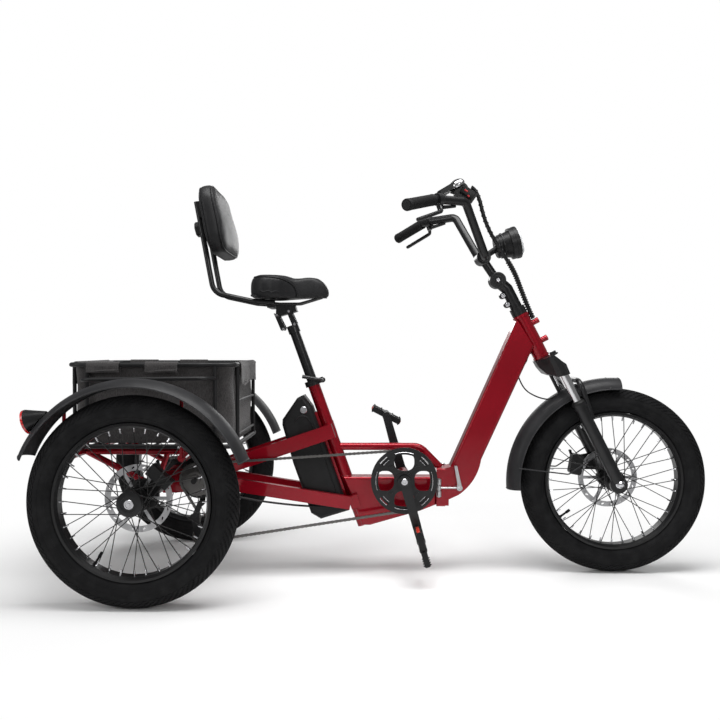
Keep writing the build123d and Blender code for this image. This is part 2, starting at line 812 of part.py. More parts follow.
back_angle = 11         # backrest, back from vertical
back_half_width = 150
pad_thick = 56
pad_low = 662           # above the axle line
pad_high = 878
pad_foot = 176
bracket_half_span = 54
bracket_radius = 8
with BuildPart() as backrest_frame:
    for side in (1, -1):
        y = side * bracket_half_span
        bent_tube(
            [
                rear(330, y, 529),
                rear(262, y, 534),
                rear(150, y, 558),
                rear(100, y, 826),
            ],
            bracket_radius,
            42,
        )
    with BuildSketch(Plane(origin=rear(104, 0, 800), x_dir=(0, 1, 0), z_dir=(0.98, 0, 0.19))):
        Rectangle(2 * bracket_half_span + 20, 44)
    extrude(amount=24)
    cross_rod(rear(118, 0, 740), 6, bracket_half_span)
    with BuildSketch(Plane.XY.offset(axle_z + saddle_rail_level - 7)):
        with Locations((rear_x + 316, 0)):
            Rectangle(18, 2 * bracket_half_span)
    extrude(amount=9.4)
backrest_frame.part.label = "backrest_frame"
export_step(backrest_frame.part, "parts/backrest_frame.step")

lean = radians(back_angle)
pad_plane = Plane(
    origin=rear(pad_foot, 0, pad_low),
    x_dir=(0, 1, 0),
    z_dir=(cos(lean), 0, sin(lean)),
)
with BuildPart() as backrest_pad:
    with BuildSketch(pad_plane.offset(-pad_thick / 2)):
        with Locations((0, (pad_high - pad_low) / 2)):
            RectangleRounded(2 * back_half_width, pad_high - pad_low, 60)
    extrude(amount=pad_thick)
    fillet(backrest_pad.faces().sort_by(Axis.X)[-1].edges(), radius=16)
    add(backrest_frame.part, mode=Mode.SUBTRACT)
backrest_pad.part.label = "backrest_pad"
export_step(backrest_pad.part, "parts/backrest_pad.step")

# ---- Basket ----------------------------------------------------------------------------------------
basket_length = basket_front - basket_back
basket_middle = (basket_front + basket_back) / 2
tube_r = basket_tube / 2
side_arm_reach = 47


def basket_loop(level):
    """Add a closed rectangular loop of tube with bent corners, at a height above the axle line."""
    back = basket_back + tube_r
    front = basket_front - tube_r
    for side in (1, -1):
        y = side * (basket_half_width - tube_r)
        bent_tube([rear(back, 0, level), rear(back, y, level), rear(front, y, level), rear(front, 0, level)], tube_r, 34)


with BuildPart() as basket_frame:
    basket_loop(basket_top - tube_r)
    basket_loop(basket_floor + tube_r)
    for x in (basket_back + tube_r, basket_front - tube_r):
        for y in (-basket_half_width + 55, basket_half_width - 55):
            bent_tube([rear(x, y, basket_floor + tube_r), rear(x, y, basket_top - tube_r)], tube_r - 1, 0)
        cross_rod(rear(x, 0, 246), 4, basket_half_width - 55)
        cross_rod(rear(x, 0, 150), 4, basket_half_width - 55)
    for side in (1, -1):
        y = side * (basket_half_width - tube_r)
        for x in (basket_back + 60, basket_front - 60):
            bent_tube([rear(x, y, basket_floor + tube_r), rear(x, y, basket_top - tube_r)], tube_r - 1, 0)
        out = side * (basket_half_width + side_arm_reach)
        bent_tube(
            [
                rear(basket_back + 60, y, 306),
                rear(basket_back + 60, out, 310),
                rear(basket_front - 80, out, 314),
                rear(basket_front - 60, y, 312),
            ],
            tube_r - 1,
            26,
        )
    for index in range(5):
        x = basket_back + basket_length * (index + 1) / 6
        cross_rod(rear(x, 0, basket_floor + tube_r), 3, basket_half_width - tube_r)
basket_frame.part.label = "basket_frame"
export_step(basket_frame.part, "parts/basket_frame.step")

with BuildPart() as basket_liner:
    liner_plane = Plane(origin=rear(basket_middle, 0, basket_floor + basket_tube + rest_gap), z_dir=(0, 0, 1))
    inset = 2 * (basket_tube + rest_gap)
    with BuildSketch(liner_plane):
        RectangleRounded(basket_length - inset, 2 * basket_half_width - inset, 36)
    extrude(amount=basket_top - basket_floor - basket_tube - rest_gap - 6)
    with BuildSketch(liner_plane.offset(liner_wall)):
        RectangleRounded(basket_length - inset - 2 * liner_wall, 2 * basket_half_width - inset - 2 * liner_wall, 33)
    extrude(amount=basket_top, mode=Mode.SUBTRACT)
basket_liner.part.label = "basket_liner"
export_step(basket_liner.part, "parts/basket_liner.step")

# ---- Folding frame, front half ---------------------------------------------------------------------
crown_low = tyre_radius + 78
crown_high = crown_low + 46
head_low = crown_high + 25
head_high = head_low + head_tube_length
head_foot = steer(0, 0, head_low)
head_top = steer(0, 0, head_high)
beam_front_half = 29
plate_face = hinge_ahead + hinge_slit
low_boss = 47           # threaded bosses, up the head tube from its foot
high_boss = 106
boss_radius = 9
boss_reach = 42         # from the steering axis
boss_thread = 2.5
boss_depth = 14
front_plate_thick = 11
latch_edge = -26        # right edge of the front hinge plate where the clamp bolt passes


def from_rear(point):
    """A point's distance ahead of the rear axle and above the axle line."""
    return (point.X - rear_x, point.Z - axle_z)


with BuildPart() as main_beam:
    upper_end = from_rear(steer(-20, 0, head_high - 8))
    lower_end = from_rear(steer(-12, 0, head_low + 42))
    elbow_end = (hinge_ahead + 40, -42)
    elbow_start = (hinge_ahead + 106, 58)
    with BuildSketch(side_plane(0)) as outline:
        with BuildLine():
            Polyline(
                elbow_end,
                (hinge_ahead + 6, -58),
                (plate_face, -58),
                (plate_face, hinge_high),
                (hinge_ahead + 16, hinge_high + 4),
                upper_end,
                lower_end,
                elbow_start,
            )
            ThreePointArc(elbow_start, (hinge_ahead + 82, 0), elbow_end)
        make_face()
    extrude(amount=beam_front_half, both=True)
    long_edges = main_beam.edges().filter_by(
        lambda e: abs(abs(e.center().Y) - beam_front_half) < 0.1 and e.length > 250
    )
    fillet(long_edges, radius=8)
    with BuildSketch(Plane(origin=rear(plate_face, 0, 0), x_dir=(0, 1, 0), z_dir=(1, 0, 0))):
        with Locations(((hinge_left + latch_edge) / 2, (hinge_low + hinge_high) / 2)):
            RectangleRounded(hinge_left - latch_edge, hinge_high - hinge_low, 6)
    extrude(amount=front_plate_thick)
    knuckle_posts(rear_knuckles, knuckle_radius + pin_gap + 1, Mode.SUBTRACT)
    with BuildSketch(steer_plane(head_low)):
        Circle(head_tube_radius)
    extrude(amount=head_tube_length)
    knuckle_posts((front_knuckle,), knuckle_radius)
    knuckle_posts(((hinge_low - 1, hinge_high + 1),), hinge_pin_radius + running_fit, Mode.SUBTRACT)
    for up in (head_low + low_boss, head_low + high_boss):
        with BuildSketch(Plane(origin=steer(10, 0, up), x_dir=(0, 1, 0), z_dir=steer_ahead)):
            Circle(boss_radius)
        extrude(amount=boss_reach - 10)
        with BuildSketch(Plane(origin=steer(boss_reach, 0, up), x_dir=(0, 1, 0), z_dir=-steer_ahead)):
            Circle(boss_thread)
        extrude(amount=boss_depth, mode=Mode.SUBTRACT)
    with BuildSketch(steer_plane(head_low)):
        Circle(steerer_radius + running_fit)
    extrude(amount=head_tube_length, mode=Mode.SUBTRACT)
main_beam.part.label = "main_beam"
export_step(main_beam.part, "parts/main_beam.step")

latch_left = -beam_front_half - 10
latch_ahead = hinge_ahead - 20
bolt_reach = 62         # from the claw's pin to the lever's pivot
lever_length = 66
with BuildPart() as fold_latch:
    bolt_level = (front_knuckle[0] + front_knuckle[1]) / 2
    for low, high in ((bolt_level - 26, bolt_level - 9), (bolt_level + 9, bolt_level + 26)):
        with BuildSketch(Plane(origin=rear(latch_ahead, latch_left, low), z_dir=(0, 0, 1))):
            Circle(8)
        extrude(amount=high - low)
    with BuildSketch(Plane(origin=rear(latch_ahead, latch_left, bolt_level - 28), z_dir=(0, 0, 1))):
        Circle(3.5)
    extrude(amount=56)
    with BuildSketch(Plane(origin=rear(latch_ahead, latch_left, bolt_level - 7), z_dir=(0, 0, 1))):
        Circle(7)
    extrude(amount=14)
    pivot = rear(latch_ahead + bolt_reach, latch_left, bolt_level)
    bent_tube([rear(latch_ahead, latch_left, bolt_level), pivot], 3, 0)
    cross_rod(pivot, 8, 7)
    with BuildSketch(side_plane(latch_left)):
        with BuildLine():
            Polyline(
                (latch_ahead + bolt_reach - 5, bolt_level),
                (latch_ahead + bolt_reach - 16, bolt_level + lever_length),
                (latch_ahead + bolt_reach - 8, bolt_level + lever_length),
                (latch_ahead + bolt_reach + 6, bolt_level + 4),
                close=True,
            )
        make_face()
    extrude(amount=5, both=True)
    add(lower_beam.part, mode=Mode.SUBTRACT)
fold_latch.part.label = "fold_latch"
export_step(fold_latch.part, "parts/fold_latch.step")

# ---- Fork and steering -----------------------------------------------------------------------------
leg_top = tyre_radius - 13
leg_ahead = fork_offset
crown_ahead = 19        # round the stanchions, in front of their middles
crown_outer = leg_half_span + crown_ahead
socket_depth = 34
crown_shoulder = head_low - rest_gap
fork_side = Plane(origin=steer(0, 0, 0), x_dir=steer_ahead, z_dir=(0, -1, 0))
with BuildPart() as fork_crown:
    with BuildSketch(fork_side):
        with BuildLine():
            Polyline(
                (-head_tube_radius - 3, crown_shoulder),
                (-head_tube_radius - 2, crown_low + 50),
                (-16, crown_low + 24),
                (4, crown_low + 6),
                (leg_ahead + crown_ahead - 3, crown_low),
                (leg_ahead + crown_ahead, crown_low + 30),
                (leg_ahead + 9, crown_low + 45),
                (head_tube_radius - 4, crown_shoulder),
                close=True,
            )
        make_face()
    extrude(amount=crown_outer, both=True)
    with BuildSketch(steer_plane(crown_low - 1)):
        with BuildLine():
            Polyline(
                (-head_tube_radius - 4, -18),
                (-head_tube_radius - 4, 18),
                (leg_ahead - crown_ahead, crown_outer - 12),
                (leg_ahead - 8, crown_outer),
                (leg_ahead + 8, crown_outer),
                (leg_ahead + crown_ahead, crown_outer - 12),
                (leg_ahead + crown_ahead + 1, 42),
                (leg_ahead + 6, 24),
                (leg_ahead + 6, -24),
                (leg_ahead + crown_ahead + 1, -42),
                (leg_ahead + crown_ahead, 12 - crown_outer),
                (leg_ahead + 8, -crown_outer),
                (leg_ahead - 8, -crown_outer),
                (leg_ahead - crown_ahead, 12 - crown_outer),
                close=True,
            )
        make_face()
    extrude(amount=crown_shoulder - crown_low + 2, mode=Mode.INTERSECT)
    with BuildSketch(steer_plane(crown_shoulder)):
        Circle(steerer_radius)
    extrude(amount=head_tube_length + 60)
    for side in (1, -1):
        with BuildSketch(steer_plane(crown_low - 1)):
            with Locations((leg_ahead, side * leg_half_span)):
                Circle(stanchion_radius)
        extrude(amount=socket_depth + 1, mode=Mode.SUBTRACT)
fork_crown.part.label = "fork_crown"
export_step(fork_crown.part, "parts/fork_crown.step")

with BuildPart() as fork_stanchions:
    for side in (1, -1):
        with BuildSketch(steer_plane(120)):
            with Locations((leg_ahead, side * leg_half_span)):
                Circle(stanchion_radius)
        extrude(amount=crown_low + socket_depth - 120)
fork_stanchions.part.label = "fork_stanchions"
export_step(fork_stanchions.part, "parts/fork_stanchions.step")

dropout_radius = 25
dropout_half_thick = 8
arch_level = tyre_radius + 45
with BuildPart() as fork_lowers:
    for side in (1, -1):
        with BuildSketch(steer_plane(6)):
            with Locations((leg_ahead, side * leg_half_span)):
                Circle(leg_radius)
        extrude(amount=leg_top - 6)
        with BuildSketch(steer_plane(leg_top - 14)):
            with Locations((leg_ahead, side * leg_half_span)):
                Circle(leg_radius + 2.5)
        extrude(amount=14)
        with BuildSketch(fork_side.offset(-side * leg_half_span)):
            with Locations((leg_ahead - 3, -2)):
                Circle(dropout_radius)
        extrude(amount=dropout_half_thick, both=True)
        with BuildSketch(steer_plane(119)):
            with Locations((leg_ahead, side * leg_half_span)):
                Circle(stanchion_radius)
        extrude(amount=200, mode=Mode.SUBTRACT)
    bent_tube(
        [
            steer(leg_ahead + 16, leg_half_span, 204),
            steer(leg_ahead + 34, leg_half_span - 2, arch_level),
            steer(leg_ahead + 34, 2 - leg_half_span, arch_level),
            steer(leg_ahead + 16, -leg_half_span, 204),
        ],
        8,
        30,
    )
    for side in (1, -1):
        with BuildSketch(steer_plane(119)):
            with Locations((leg_ahead, side * leg_half_span)):
                Circle(stanchion_radius)
        extrude(amount=200, mode=Mode.SUBTRACT)
    cross_rod(Vector(front_x, 0, axle_z), front_axle_radius, 90, mode=Mode.SUBTRACT)
fork_lowers.part.label = "fork_lowers"
export_step(fork_lowers.part, "parts/fork_lowers.step")

with BuildPart() as front_axle:
    cross_rod(Vector(front_x, 0, axle_z), front_axle_radius, leg_half_span + 16)
front_axle.part.label = "front_axle"
export_step(front_axle.part, "parts/front_axle.step")

front_rotor_left = 42
mount_inner = front_rotor_left + caliper_back - 5
mount_outer = leg_half_span - 1
with BuildPart() as front_caliper:
    with BuildSketch(side_plane(front_rotor_left - caliper_front)):
        with Locations((wheelbase - 96, 40)):
            RectangleRounded(36, 62, 8, rotation=-10)
    extrude(amount=-caliper_front - caliper_back)
    with BuildSketch(side_plane(front_rotor_left)):
        with Locations((wheelbase, 0)):
            Circle(rotor_radius + 2)
    extrude(amount=rotor_thick / 2 + pad_gap, both=True, mode=Mode.SUBTRACT)
    side_slab(
        [(wheelbase - 84, 24), (wheelbase - 84, 66), (wheelbase - 30, 76), (wheelbase - 12, 20)],
        (mount_inner + mount_outer) / 2,
        mount_outer - mount_inner,
    )
    add(fork_lowers.part, mode=Mode.SUBTRACT)
    add(front_axle.part, mode=Mode.SUBTRACT)
front_caliper.part.label = "front_caliper"
export_step(front_caliper.part, "parts/front_caliper.step")

stem_low = head_high + rest_gap
bar_ahead = from_rear(steer(0, 0, 0))[0]
bar_centre = steer(-24, 0, stem_low + 201.7)
stem_radius = 18
pivot_place = (-15, stem_low + 122)
with BuildPart() as stem:
    with BuildSketch(steer_plane(stem_low)):
        Circle(head_tube_radius)
    extrude(amount=24)
    bent_tube([steer(0, 0, stem_low + 20), steer(0, 0, stem_low + 87), steer(pivot_place[0], 0, pivot_place[1])], stem_radius, 12)
    cross_rod(steer(pivot_place[0], 0, pivot_place[1]), 24, 17)
    bent_tube([steer(pivot_place[0], 0, pivot_place[1]), bar_centre - steer_up * 8], 13, 0)
    cross_rod(bar_centre, 21, 30)
    with BuildSketch(steer_plane(stem_low)):
        Circle(steerer_radius)
    extrude(amount=62, mode=Mode.SUBTRACT)
    cross_rod(bar_centre, 16, 60, mode=Mode.SUBTRACT)
stem.part.label = "stem"
export_step(stem.part, "parts/stem.step")

bar_radius = 12.5
grip_radius = 16.5


def from_bar(x, y, z):
    """A point x ahead of, y to the left of and z above the handlebar's middle."""
    return bar_centre + Vector(x, y, z)


rise_end = from_bar(-67.4, 128, 144.8)
grip_inner = from_bar(-155.4, 182, 140.8)
grip_end = from_bar(-243.4, bar_half_width, 102.8)
grip_start = grip_inner + (grip_end - grip_inner) * 0.12
with BuildPart() as handlebar:
    right_half = []
    left_half = []
    for point in (rise_end, grip_inner, grip_end):
        right_half.append(Vector(point.X, -point.Y, point.Z))
        left_half.append(point)
    centre_left = bar_centre + Vector(0, 52, 0)
    centre_right = bar_centre - Vector(0, 52, 0)
    bent_tube(right_half[::-1] + [centre_right, centre_left] + left_half, bar_radius, 26)
    bent_tube([centre_right + Vector(0, 14, 0), centre_left - Vector(0, 14, 0)], 16, 0)
    add(stem.part, mode=Mode.SUBTRACT)
handlebar.part.label = "handlebar"
export_step(handlebar.part, "parts/handlebar.step")

with BuildPart() as grips:
    for side in (1, -1):
        start = Vector(grip_start.X, side * grip_start.Y, grip_start.Z)
        end = Vector(grip_end.X, side * grip_end.Y, grip_end.Z)
        bent_tube([start, end + (end - start).normalized() * 3], grip_radius, 0)
    add(handlebar.part, mode=Mode.SUBTRACT)
grips.part.label = "grips"
export_step(grips.part, "parts/grips.step")

with BuildPart() as brake_levers:
    for side in (1, -1):
        bent_tube([from_bar(-147, side * 178, 131), from_bar(-141, side * 200, 105), from_bar(-209, side * 268, 71)], 5.5, 14)
        bent_tube([from_bar(-141, side * 172, 142), from_bar(-154, side * 183, 140)], grip_radius + 1, 0)
    add(handlebar.part, mode=Mode.SUBTRACT)
    add(grips.part, mode=Mode.SUBTRACT)
brake_levers.part.label = "brake_levers"
export_step(brake_levers.part, "parts/brake_levers.step")

lamp_radius = 47
lamp_depth = 64
fin_radii = (33, 36, 39)
with BuildPart() as headlight:
    lamp_axis = Vector(cos(radians(15)), 0, sin(radians(15)))
    lamp_back = from_bar(38.6, 0, 30.8)
    with BuildSketch(Plane(origin=lamp_back, x_dir=(0, 1, 0), z_dir=lamp_axis)):
        Circle(30)
    with BuildSketch(Plane(origin=lamp_back + lamp_axis * (lamp_depth - 20), x_dir=(0, 1, 0), z_dir=lamp_axis)):
        Circle(lamp_radius - 6)
    loft()
    for index, radius in enumerate(fin_radii):
        with BuildSketch(Plane(origin=lamp_back + lamp_axis * (3 + 9 * index), x_dir=(0, 1, 0), z_dir=lamp_axis)):
            Circle(radius)
        extrude(amount=4)
    with BuildSketch(Plane(origin=lamp_back + lamp_axis * (lamp_depth - 20), x_dir=(0, 1, 0), z_dir=lamp_axis)):
        Circle(lamp_radius)
    extrude(amount=20)
    bent_tube([lamp_back + lamp_axis * 12, bar_centre], 9, 0)
    add(handlebar.part, mode=Mode.SUBTRACT)
    add(stem.part, mode=Mode.SUBTRACT)
headlight.part.label = "headlight"
export_step(headlight.part, "parts/headlight.step")

with BuildPart() as display:
    clamp_at = Vector(rise_end.X, -rise_end.Y, rise_end.Z) + Vector(2, 14, 24)
    with BuildSketch(Plane(origin=clamp_at, x_dir=(0.82, 0, -0.57), z_dir=(0, 1, 0))):
        RectangleRounded(58, 40, 6)
    extrude(amount=22)
    with BuildSketch(Plane(origin=clamp_at, x_dir=(1, 0, 0), z_dir=(0, 1, 0))):
        with Locations((-12, -14)):
            Circle(20)
    extrude(amount=26)
    screen = Plane(origin=clamp_at + Vector(-44, 12, 10), x_dir=(0, 1, 0), z_dir=(-0.5, 0, 0.86))
    with BuildSketch(screen):
        RectangleRounded(60, 72, 8)
    extrude(amount=14)
    bent_tube([clamp_at + Vector(0, 11, 0), clamp_at + Vector(-40, 11, 12)], 8, 0)
    add(handlebar.part, mode=Mode.SUBTRACT)
display.part.label = "display"
export_step(display.part, "parts/display.step")

front_crown = tyre_radius + 38
front_edge = front_crown - 31
front_fender_shift = Vector(-4, 0, -6)      # its centre from the axle
with BuildPart() as front_fender:
    fender_band(
        Vector(front_x, 0, axle_z) + front_fender_shift, 0, front_edge, front_crown, 45, fender_wall, 86, 184
    )
    for side in (1, -1):
        bent_tube(
            [
                Vector(front_x - 288, side * 43, axle_z + 40),
                Vector(front_x - 149, side * 74, axle_z + 28),
                Vector(front_x - 54, side * 74, axle_z + 92),
            ],
            2,
            14,
        )
    bent_tube([steer(0, 0, front_crown - 12), steer(0, 0, crown_low + 14 - rest_gap)], 5, 0)
    add(fork_lowers.part, mode=Mode.SUBTRACT)
    add(fork_crown.part, mode=Mode.SUBTRACT)
front_fender.part.label = "front_fender"
export_step(front_fender.part, "parts/front_fender.step")

with BuildPart() as cable_loom:
    bent_tube(
        [
            clamp_at + Vector(18, 11, 22),
            clamp_at + Vector(36, 14, 14),
            clamp_at + Vector(58, 12, -84),
            steer(24, -54, stem_low + 196),
            steer(36, -32, stem_low + 126),
            steer(34, -14, stem_low + 72),
            steer(30, -6, stem_low + 18),
        ],
        6.5,
        22,
    )
    add(stem.part, mode=Mode.SUBTRACT)
    add(display.part, mode=Mode.SUBTRACT)
    add(headlight.part, mode=Mode.SUBTRACT)
cable_loom.part.label = "cable_loom"
export_step(cable_loom.part, "parts/cable_loom.step")

# ---- Cranks, chainring and pedals ------------------------------------------------------------------
bracket = rear(bracket_ahead, 0, bracket_above)
arm_inner = 86
arm_thick = 14
pedal_inner = arm_inner + arm_thick + 7
pedal_width = 84
pedal_length = 98
pedal_thick = 17
pedal_barrel = 11
pedal_bar = 7


def crank_point(side, reach):
    """A point along a crank arm; the right arm hangs forward of straight down, the left one opposite."""
    angle = radians(crank_lean)
    return Vector(bracket.X - side * reach * sin(angle), 0, bracket.Z + side * reach * cos(angle))


with BuildPart() as crankset:
    cross_rod(bracket, spindle_radius, arm_inner + arm_thick - 2)
    for side in (1, -1):
        hub_place = Plane(
            origin=Vector(bracket.X, side * arm_inner, bracket.Z), x_dir=(1, 0, 0), z_dir=(0, side, 0)
        )
        end = crank_point(side, crank_length)
        end_place = Plane(origin=Vector(end.X, side * arm_inner, end.Z), x_dir=(1, 0, 0), z_dir=(0, side, 0))
        with BuildSketch(hub_place):
            Circle(18)
        extrude(amount=arm_thick)
        with BuildSketch(end_place):
            Circle(13)
        extrude(amount=arm_thick)
        half = Vector(-(end - bracket).Z, 0, (end - bracket).X).normalized()
        with BuildSketch(Plane.XZ.offset(-side * arm_inner)):
            with BuildLine():
                Polyline(
                    *[
                        (point.X, point.Z)
                        for point in (
                            bracket + half * 15,
                            end + half * 12,
                            end - half * 12,
                            bracket - half * 15,
                        )
                    ],
                    close=True,
                )
            make_face()
        extrude(amount=arm_thick, dir=(0, side, 0))
        cross = Vector(end.X, side * (arm_inner + arm_thick), end.Z)
        with BuildSketch(Plane(origin=cross, x_dir=(1, 0, 0), z_dir=(0, side, 0))):
            Circle(6)
        extrude(amount=pedal_width)
crankset.part.label = "crankset"
export_step(crankset.part, "parts/crankset.step")

ring_thick = 2
guard_gap = 6.2         # from the chainring's inner face to the guard
spider_radius = 56      # windows' middles, near the bolts that join ring and guard
spider_hub = 26
ring_band = 8
post_radius = 6
with BuildPart() as chainring:
    ring_place = Plane(origin=(bracket.X, ring_thick / 2 - chain_line, bracket.Z), x_dir=(1, 0, 0), z_dir=(0, -1, 0))
    with BuildSketch(ring_place):
        Circle(chainring_radius)
        Circle(chainring_radius - ring_band, mode=Mode.SUBTRACT)
        Circle(spider_hub)
        with PolarLocations((chainring_radius + spider_hub - ring_band) / 2, 4, start_angle=45):
            Rectangle(chainring_radius - spider_hub, 2 * post_radius + 2)
    extrude(amount=ring_thick)
    with BuildSketch(ring_place.offset(guard_gap)):
        Circle(guard_radius)
        with PolarLocations(spider_radius, 4):
            RectangleRounded(52, 58, 22, mode=Mode.SUBTRACT)
        with PolarLocations(guard_radius - 16, 4, start_angle=45):
            RectangleRounded(11, 30, 5, mode=Mode.SUBTRACT)
    extrude(amount=ring_thick)
    with BuildSketch(ring_place):
        Circle(spider_hub)
        with PolarLocations(spider_radius - 2, 4, start_angle=45):
            Circle(post_radius)
    extrude(amount=arm_inner - chain_line + 1)
    cross_rod(bracket, spindle_radius, 120, mode=Mode.SUBTRACT)
    with BuildSketch(ring_place.offset(arm_inner - chain_line + 1)):
        Circle(200)
    extrude(amount=20, mode=Mode.SUBTRACT)
chainring.part.label = "chainring"
export_step(chainring.part, "parts/chainring.step")

for side_name, side, tilt in (("left", 1, 27), ("right", -1, 90 - crank_lean)):
    end = crank_point(side, crank_length)
    with BuildPart() as pedal:
        pedal_place = Plane(
            origin=Vector(end.X, side * pedal_inner, end.Z),
            x_dir=(cos(radians(tilt)), 0, -sin(radians(tilt))),
            z_dir=(0, side, 0),
        )
        with BuildSketch(pedal_place):
            RectangleRounded(pedal_length, pedal_thick, 5)
            Circle(pedal_barrel)
        extrude(amount=pedal_width)
        window = pedal_length / 2 - pedal_barrel - 2 * pedal_bar
        with BuildSketch(Plane(origin=pedal_place.origin, x_dir=pedal_place.x_dir, z_dir=-pedal_place.y_dir)):
            for ahead in (-1, 1):
                for across in (0.27, 0.73):
                    with Locations((ahead * (pedal_barrel + pedal_bar + window / 2), across * pedal_width)):
                        RectangleRounded(window, pedal_width / 2 - 2 * pedal_bar, 3)
        extrude(amount=pedal_thick, both=True, mode=Mode.SUBTRACT)
        with BuildSketch(pedal_place):
            Circle(6 + running_fit)
        extrude(amount=pedal_width, mode=Mode.SUBTRACT)
    pedal.part.label = "pedal_" + side_name
    export_step(pedal.part, "parts/pedal_" + side_name + ".step")

for side_name, side in (("left", 1), ("right", -1)):
    with BuildPart() as half_shaft:
        start = side * (final_drive_left + 1 if side > 0 else final_drive_left - 5)
        with BuildSketch(Plane(origin=rear(0, start, 0), x_dir=(1, 0, 0), z_dir=(0, side, 0))):
            Circle(rear_shaft_radius)
        extrude(amount=half_track + 33 - abs(start))
    half_shaft.part.label = "rear_axle_" + side_name
    export_step(half_shaft.part, "parts/rear_axle_" + side_name + ".step")
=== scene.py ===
"""Folding electric tricycle: finishes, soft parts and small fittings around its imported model, in metres.

+X is forward, +Y is the rider's left, +Z is up and the ground is Z = 0.
"""
from math import atan2, cos, hypot, pi, radians, sin, sqrt, tau

import bmesh
import bpy
from mathutils import Matrix, Vector


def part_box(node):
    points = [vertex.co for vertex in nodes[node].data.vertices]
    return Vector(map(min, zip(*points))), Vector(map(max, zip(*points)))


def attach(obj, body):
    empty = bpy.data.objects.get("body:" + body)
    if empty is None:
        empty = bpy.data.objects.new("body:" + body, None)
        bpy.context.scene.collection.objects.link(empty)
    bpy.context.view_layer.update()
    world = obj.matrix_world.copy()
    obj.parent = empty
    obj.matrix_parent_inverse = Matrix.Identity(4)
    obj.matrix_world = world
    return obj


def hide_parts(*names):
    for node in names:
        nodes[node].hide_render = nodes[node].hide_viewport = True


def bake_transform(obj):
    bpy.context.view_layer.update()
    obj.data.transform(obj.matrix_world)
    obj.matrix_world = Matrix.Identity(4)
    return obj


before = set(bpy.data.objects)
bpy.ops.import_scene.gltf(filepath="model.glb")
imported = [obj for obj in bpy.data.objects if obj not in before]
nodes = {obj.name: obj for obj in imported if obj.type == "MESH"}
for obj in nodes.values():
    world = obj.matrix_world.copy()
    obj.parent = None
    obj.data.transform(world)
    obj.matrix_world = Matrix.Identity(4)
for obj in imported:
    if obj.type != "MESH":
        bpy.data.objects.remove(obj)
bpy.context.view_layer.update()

scene = bpy.context.scene

# ---- Studio ----------------------------------------------------------------------------------------
# A pale floor that runs out into a white backdrop, with the camera level at the tricycle's right
# side. Large soft lamps overhead and in front draw long highlights on the tubes.


class Wire:
    """A shader socket. Sums and products of wires and numbers add Math nodes to its tree."""

    def __init__(self, tree, socket=None):
        self.tree = tree
        self.socket = socket

    def node(self, kind, settings=None, sockets=None, output=0):
        """Add a node: its settings first, then the value or wire of each socket that is named."""
        made = self.tree.nodes.new("ShaderNode" + kind)
        for name, value in (settings or {}).items():
            setattr(made, name, value)
        for name, value in (sockets or {}).items():
            if isinstance(value, Wire):
                self.tree.links.new(value.socket, made.inputs[name])
            else:
                made.inputs[name].default_value = value
        return Wire(self.tree, made.outputs[output])

    def math(self, operation, first, second=0.0):
        return self.node("Math", {"operation": operation}, {0: first, 1: second})

    def __add__(self, other):
        return self.math("ADD", self, other)

    __radd__ = __add__

    def __mul__(self, other):
        return self.math("MULTIPLY", self, other)

    __rmul__ = __mul__

    def __sub__(self, other):
        return self.math("SUBTRACT", self, other)

    def __rsub__(self, other):
        return self.math("SUBTRACT", other, self)

    def sine(self):
        return self.math("SINE", self)

    def root(self):
        return self.math("SQRT", self)

    def between(self, low, high):
        """0 below low, 1 above high, and smooth from one to the other."""
        settings = {"interpolation_type": "SMOOTHSTEP"}
        return self.node("MapRange", settings, {0: self, 1: low, 2: high})

    def axes(self):
        """The three parts of a vector."""
        parts = self.node("SeparateXYZ", None, {0: self}).socket.node
        return [Wire(self.tree, output) for output in parts.outputs]

    def noise(self, scale, detail=2.0):
        """Cloudy noise on these coordinates, from 0 to 1."""
        return self.node("TexNoise", None, {"Vector": self, "Scale": scale, "Detail": detail})

    def tint(self, low, high):
        """The colour low where this wire is 0 and high where it is 1."""
        return self.node("Mix", {"data_type": "RGBA"}, {0: self, 6: (*low, 1), 7: (*high, 1)}, 2)

    def raise_by(self, height):
        """Lift the surface by this wire times a height in metres."""
        self.node("Bump", None, {"Height": self, "Distance": height}).feed("Normal")

    def feed(self, name):
        """Link this wire to a socket of the finish's own shader."""
        self.tree.links.new(self.socket, self.tree.nodes["Principled BSDF"].inputs[name])


def new_finish(name, colour, settings):
    """A material with its constants set, and a wire of the piece's own coordinates to work from."""
    material = bpy.data.materials.new(name)
    material.use_nodes = True
    tree = material.node_tree
    shader = tree.nodes["Principled BSDF"]
    shader.inputs["Base Color"].default_value = (*colour, 1)
    for socket, value in settings.items():
        shader.inputs[socket].default_value = value
    return material, Wire(tree).node("TexCoord", output="Object")


camera_data = bpy.data.cameras.new("camera")
camera_data.lens = 37.0
camera_data.sensor_width = 36.0
camera = bpy.data.objects.new("camera", camera_data)
camera.location = (-0.0528, -2.2315, 0.6719)
camera.rotation_euler = Vector((-0.0138, 1.0, -0.0166)).to_track_quat("-Z", "Y").to_euler()
scene.collection.objects.link(camera)
scene.camera = camera

lamp_aim = Vector((0, 0, 0.45))
lamps = (
    ("overhead", (0.1, -0.5, 2.6), (2.4, 1.0), 70),
    ("front", (0.9, -2.7, 1.7), (1.2, 0.7), 15),
    ("rear_quarter", (-2.2, -1.4, 1.3), (0.5, 1.4), 10),
    ("behind", (0.5, 2.4, 1.5), (2.4, 0.8), 22),
)
for name, place, (wide, high), watts in lamps:
    lamp_data = bpy.data.lights.new("lamp_" + name, "AREA")
    lamp_data.shape = "RECTANGLE"
    lamp_data.size = wide
    lamp_data.size_y = high
    lamp_data.energy = watts
    lamp = bpy.data.objects.new("lamp_" + name, lamp_data)
    lamp.location = place
    lamp.rotation_euler = (lamp_aim - Vector(place)).to_track_quat("-Z", "Y").to_euler()
    scene.collection.objects.link(lamp)

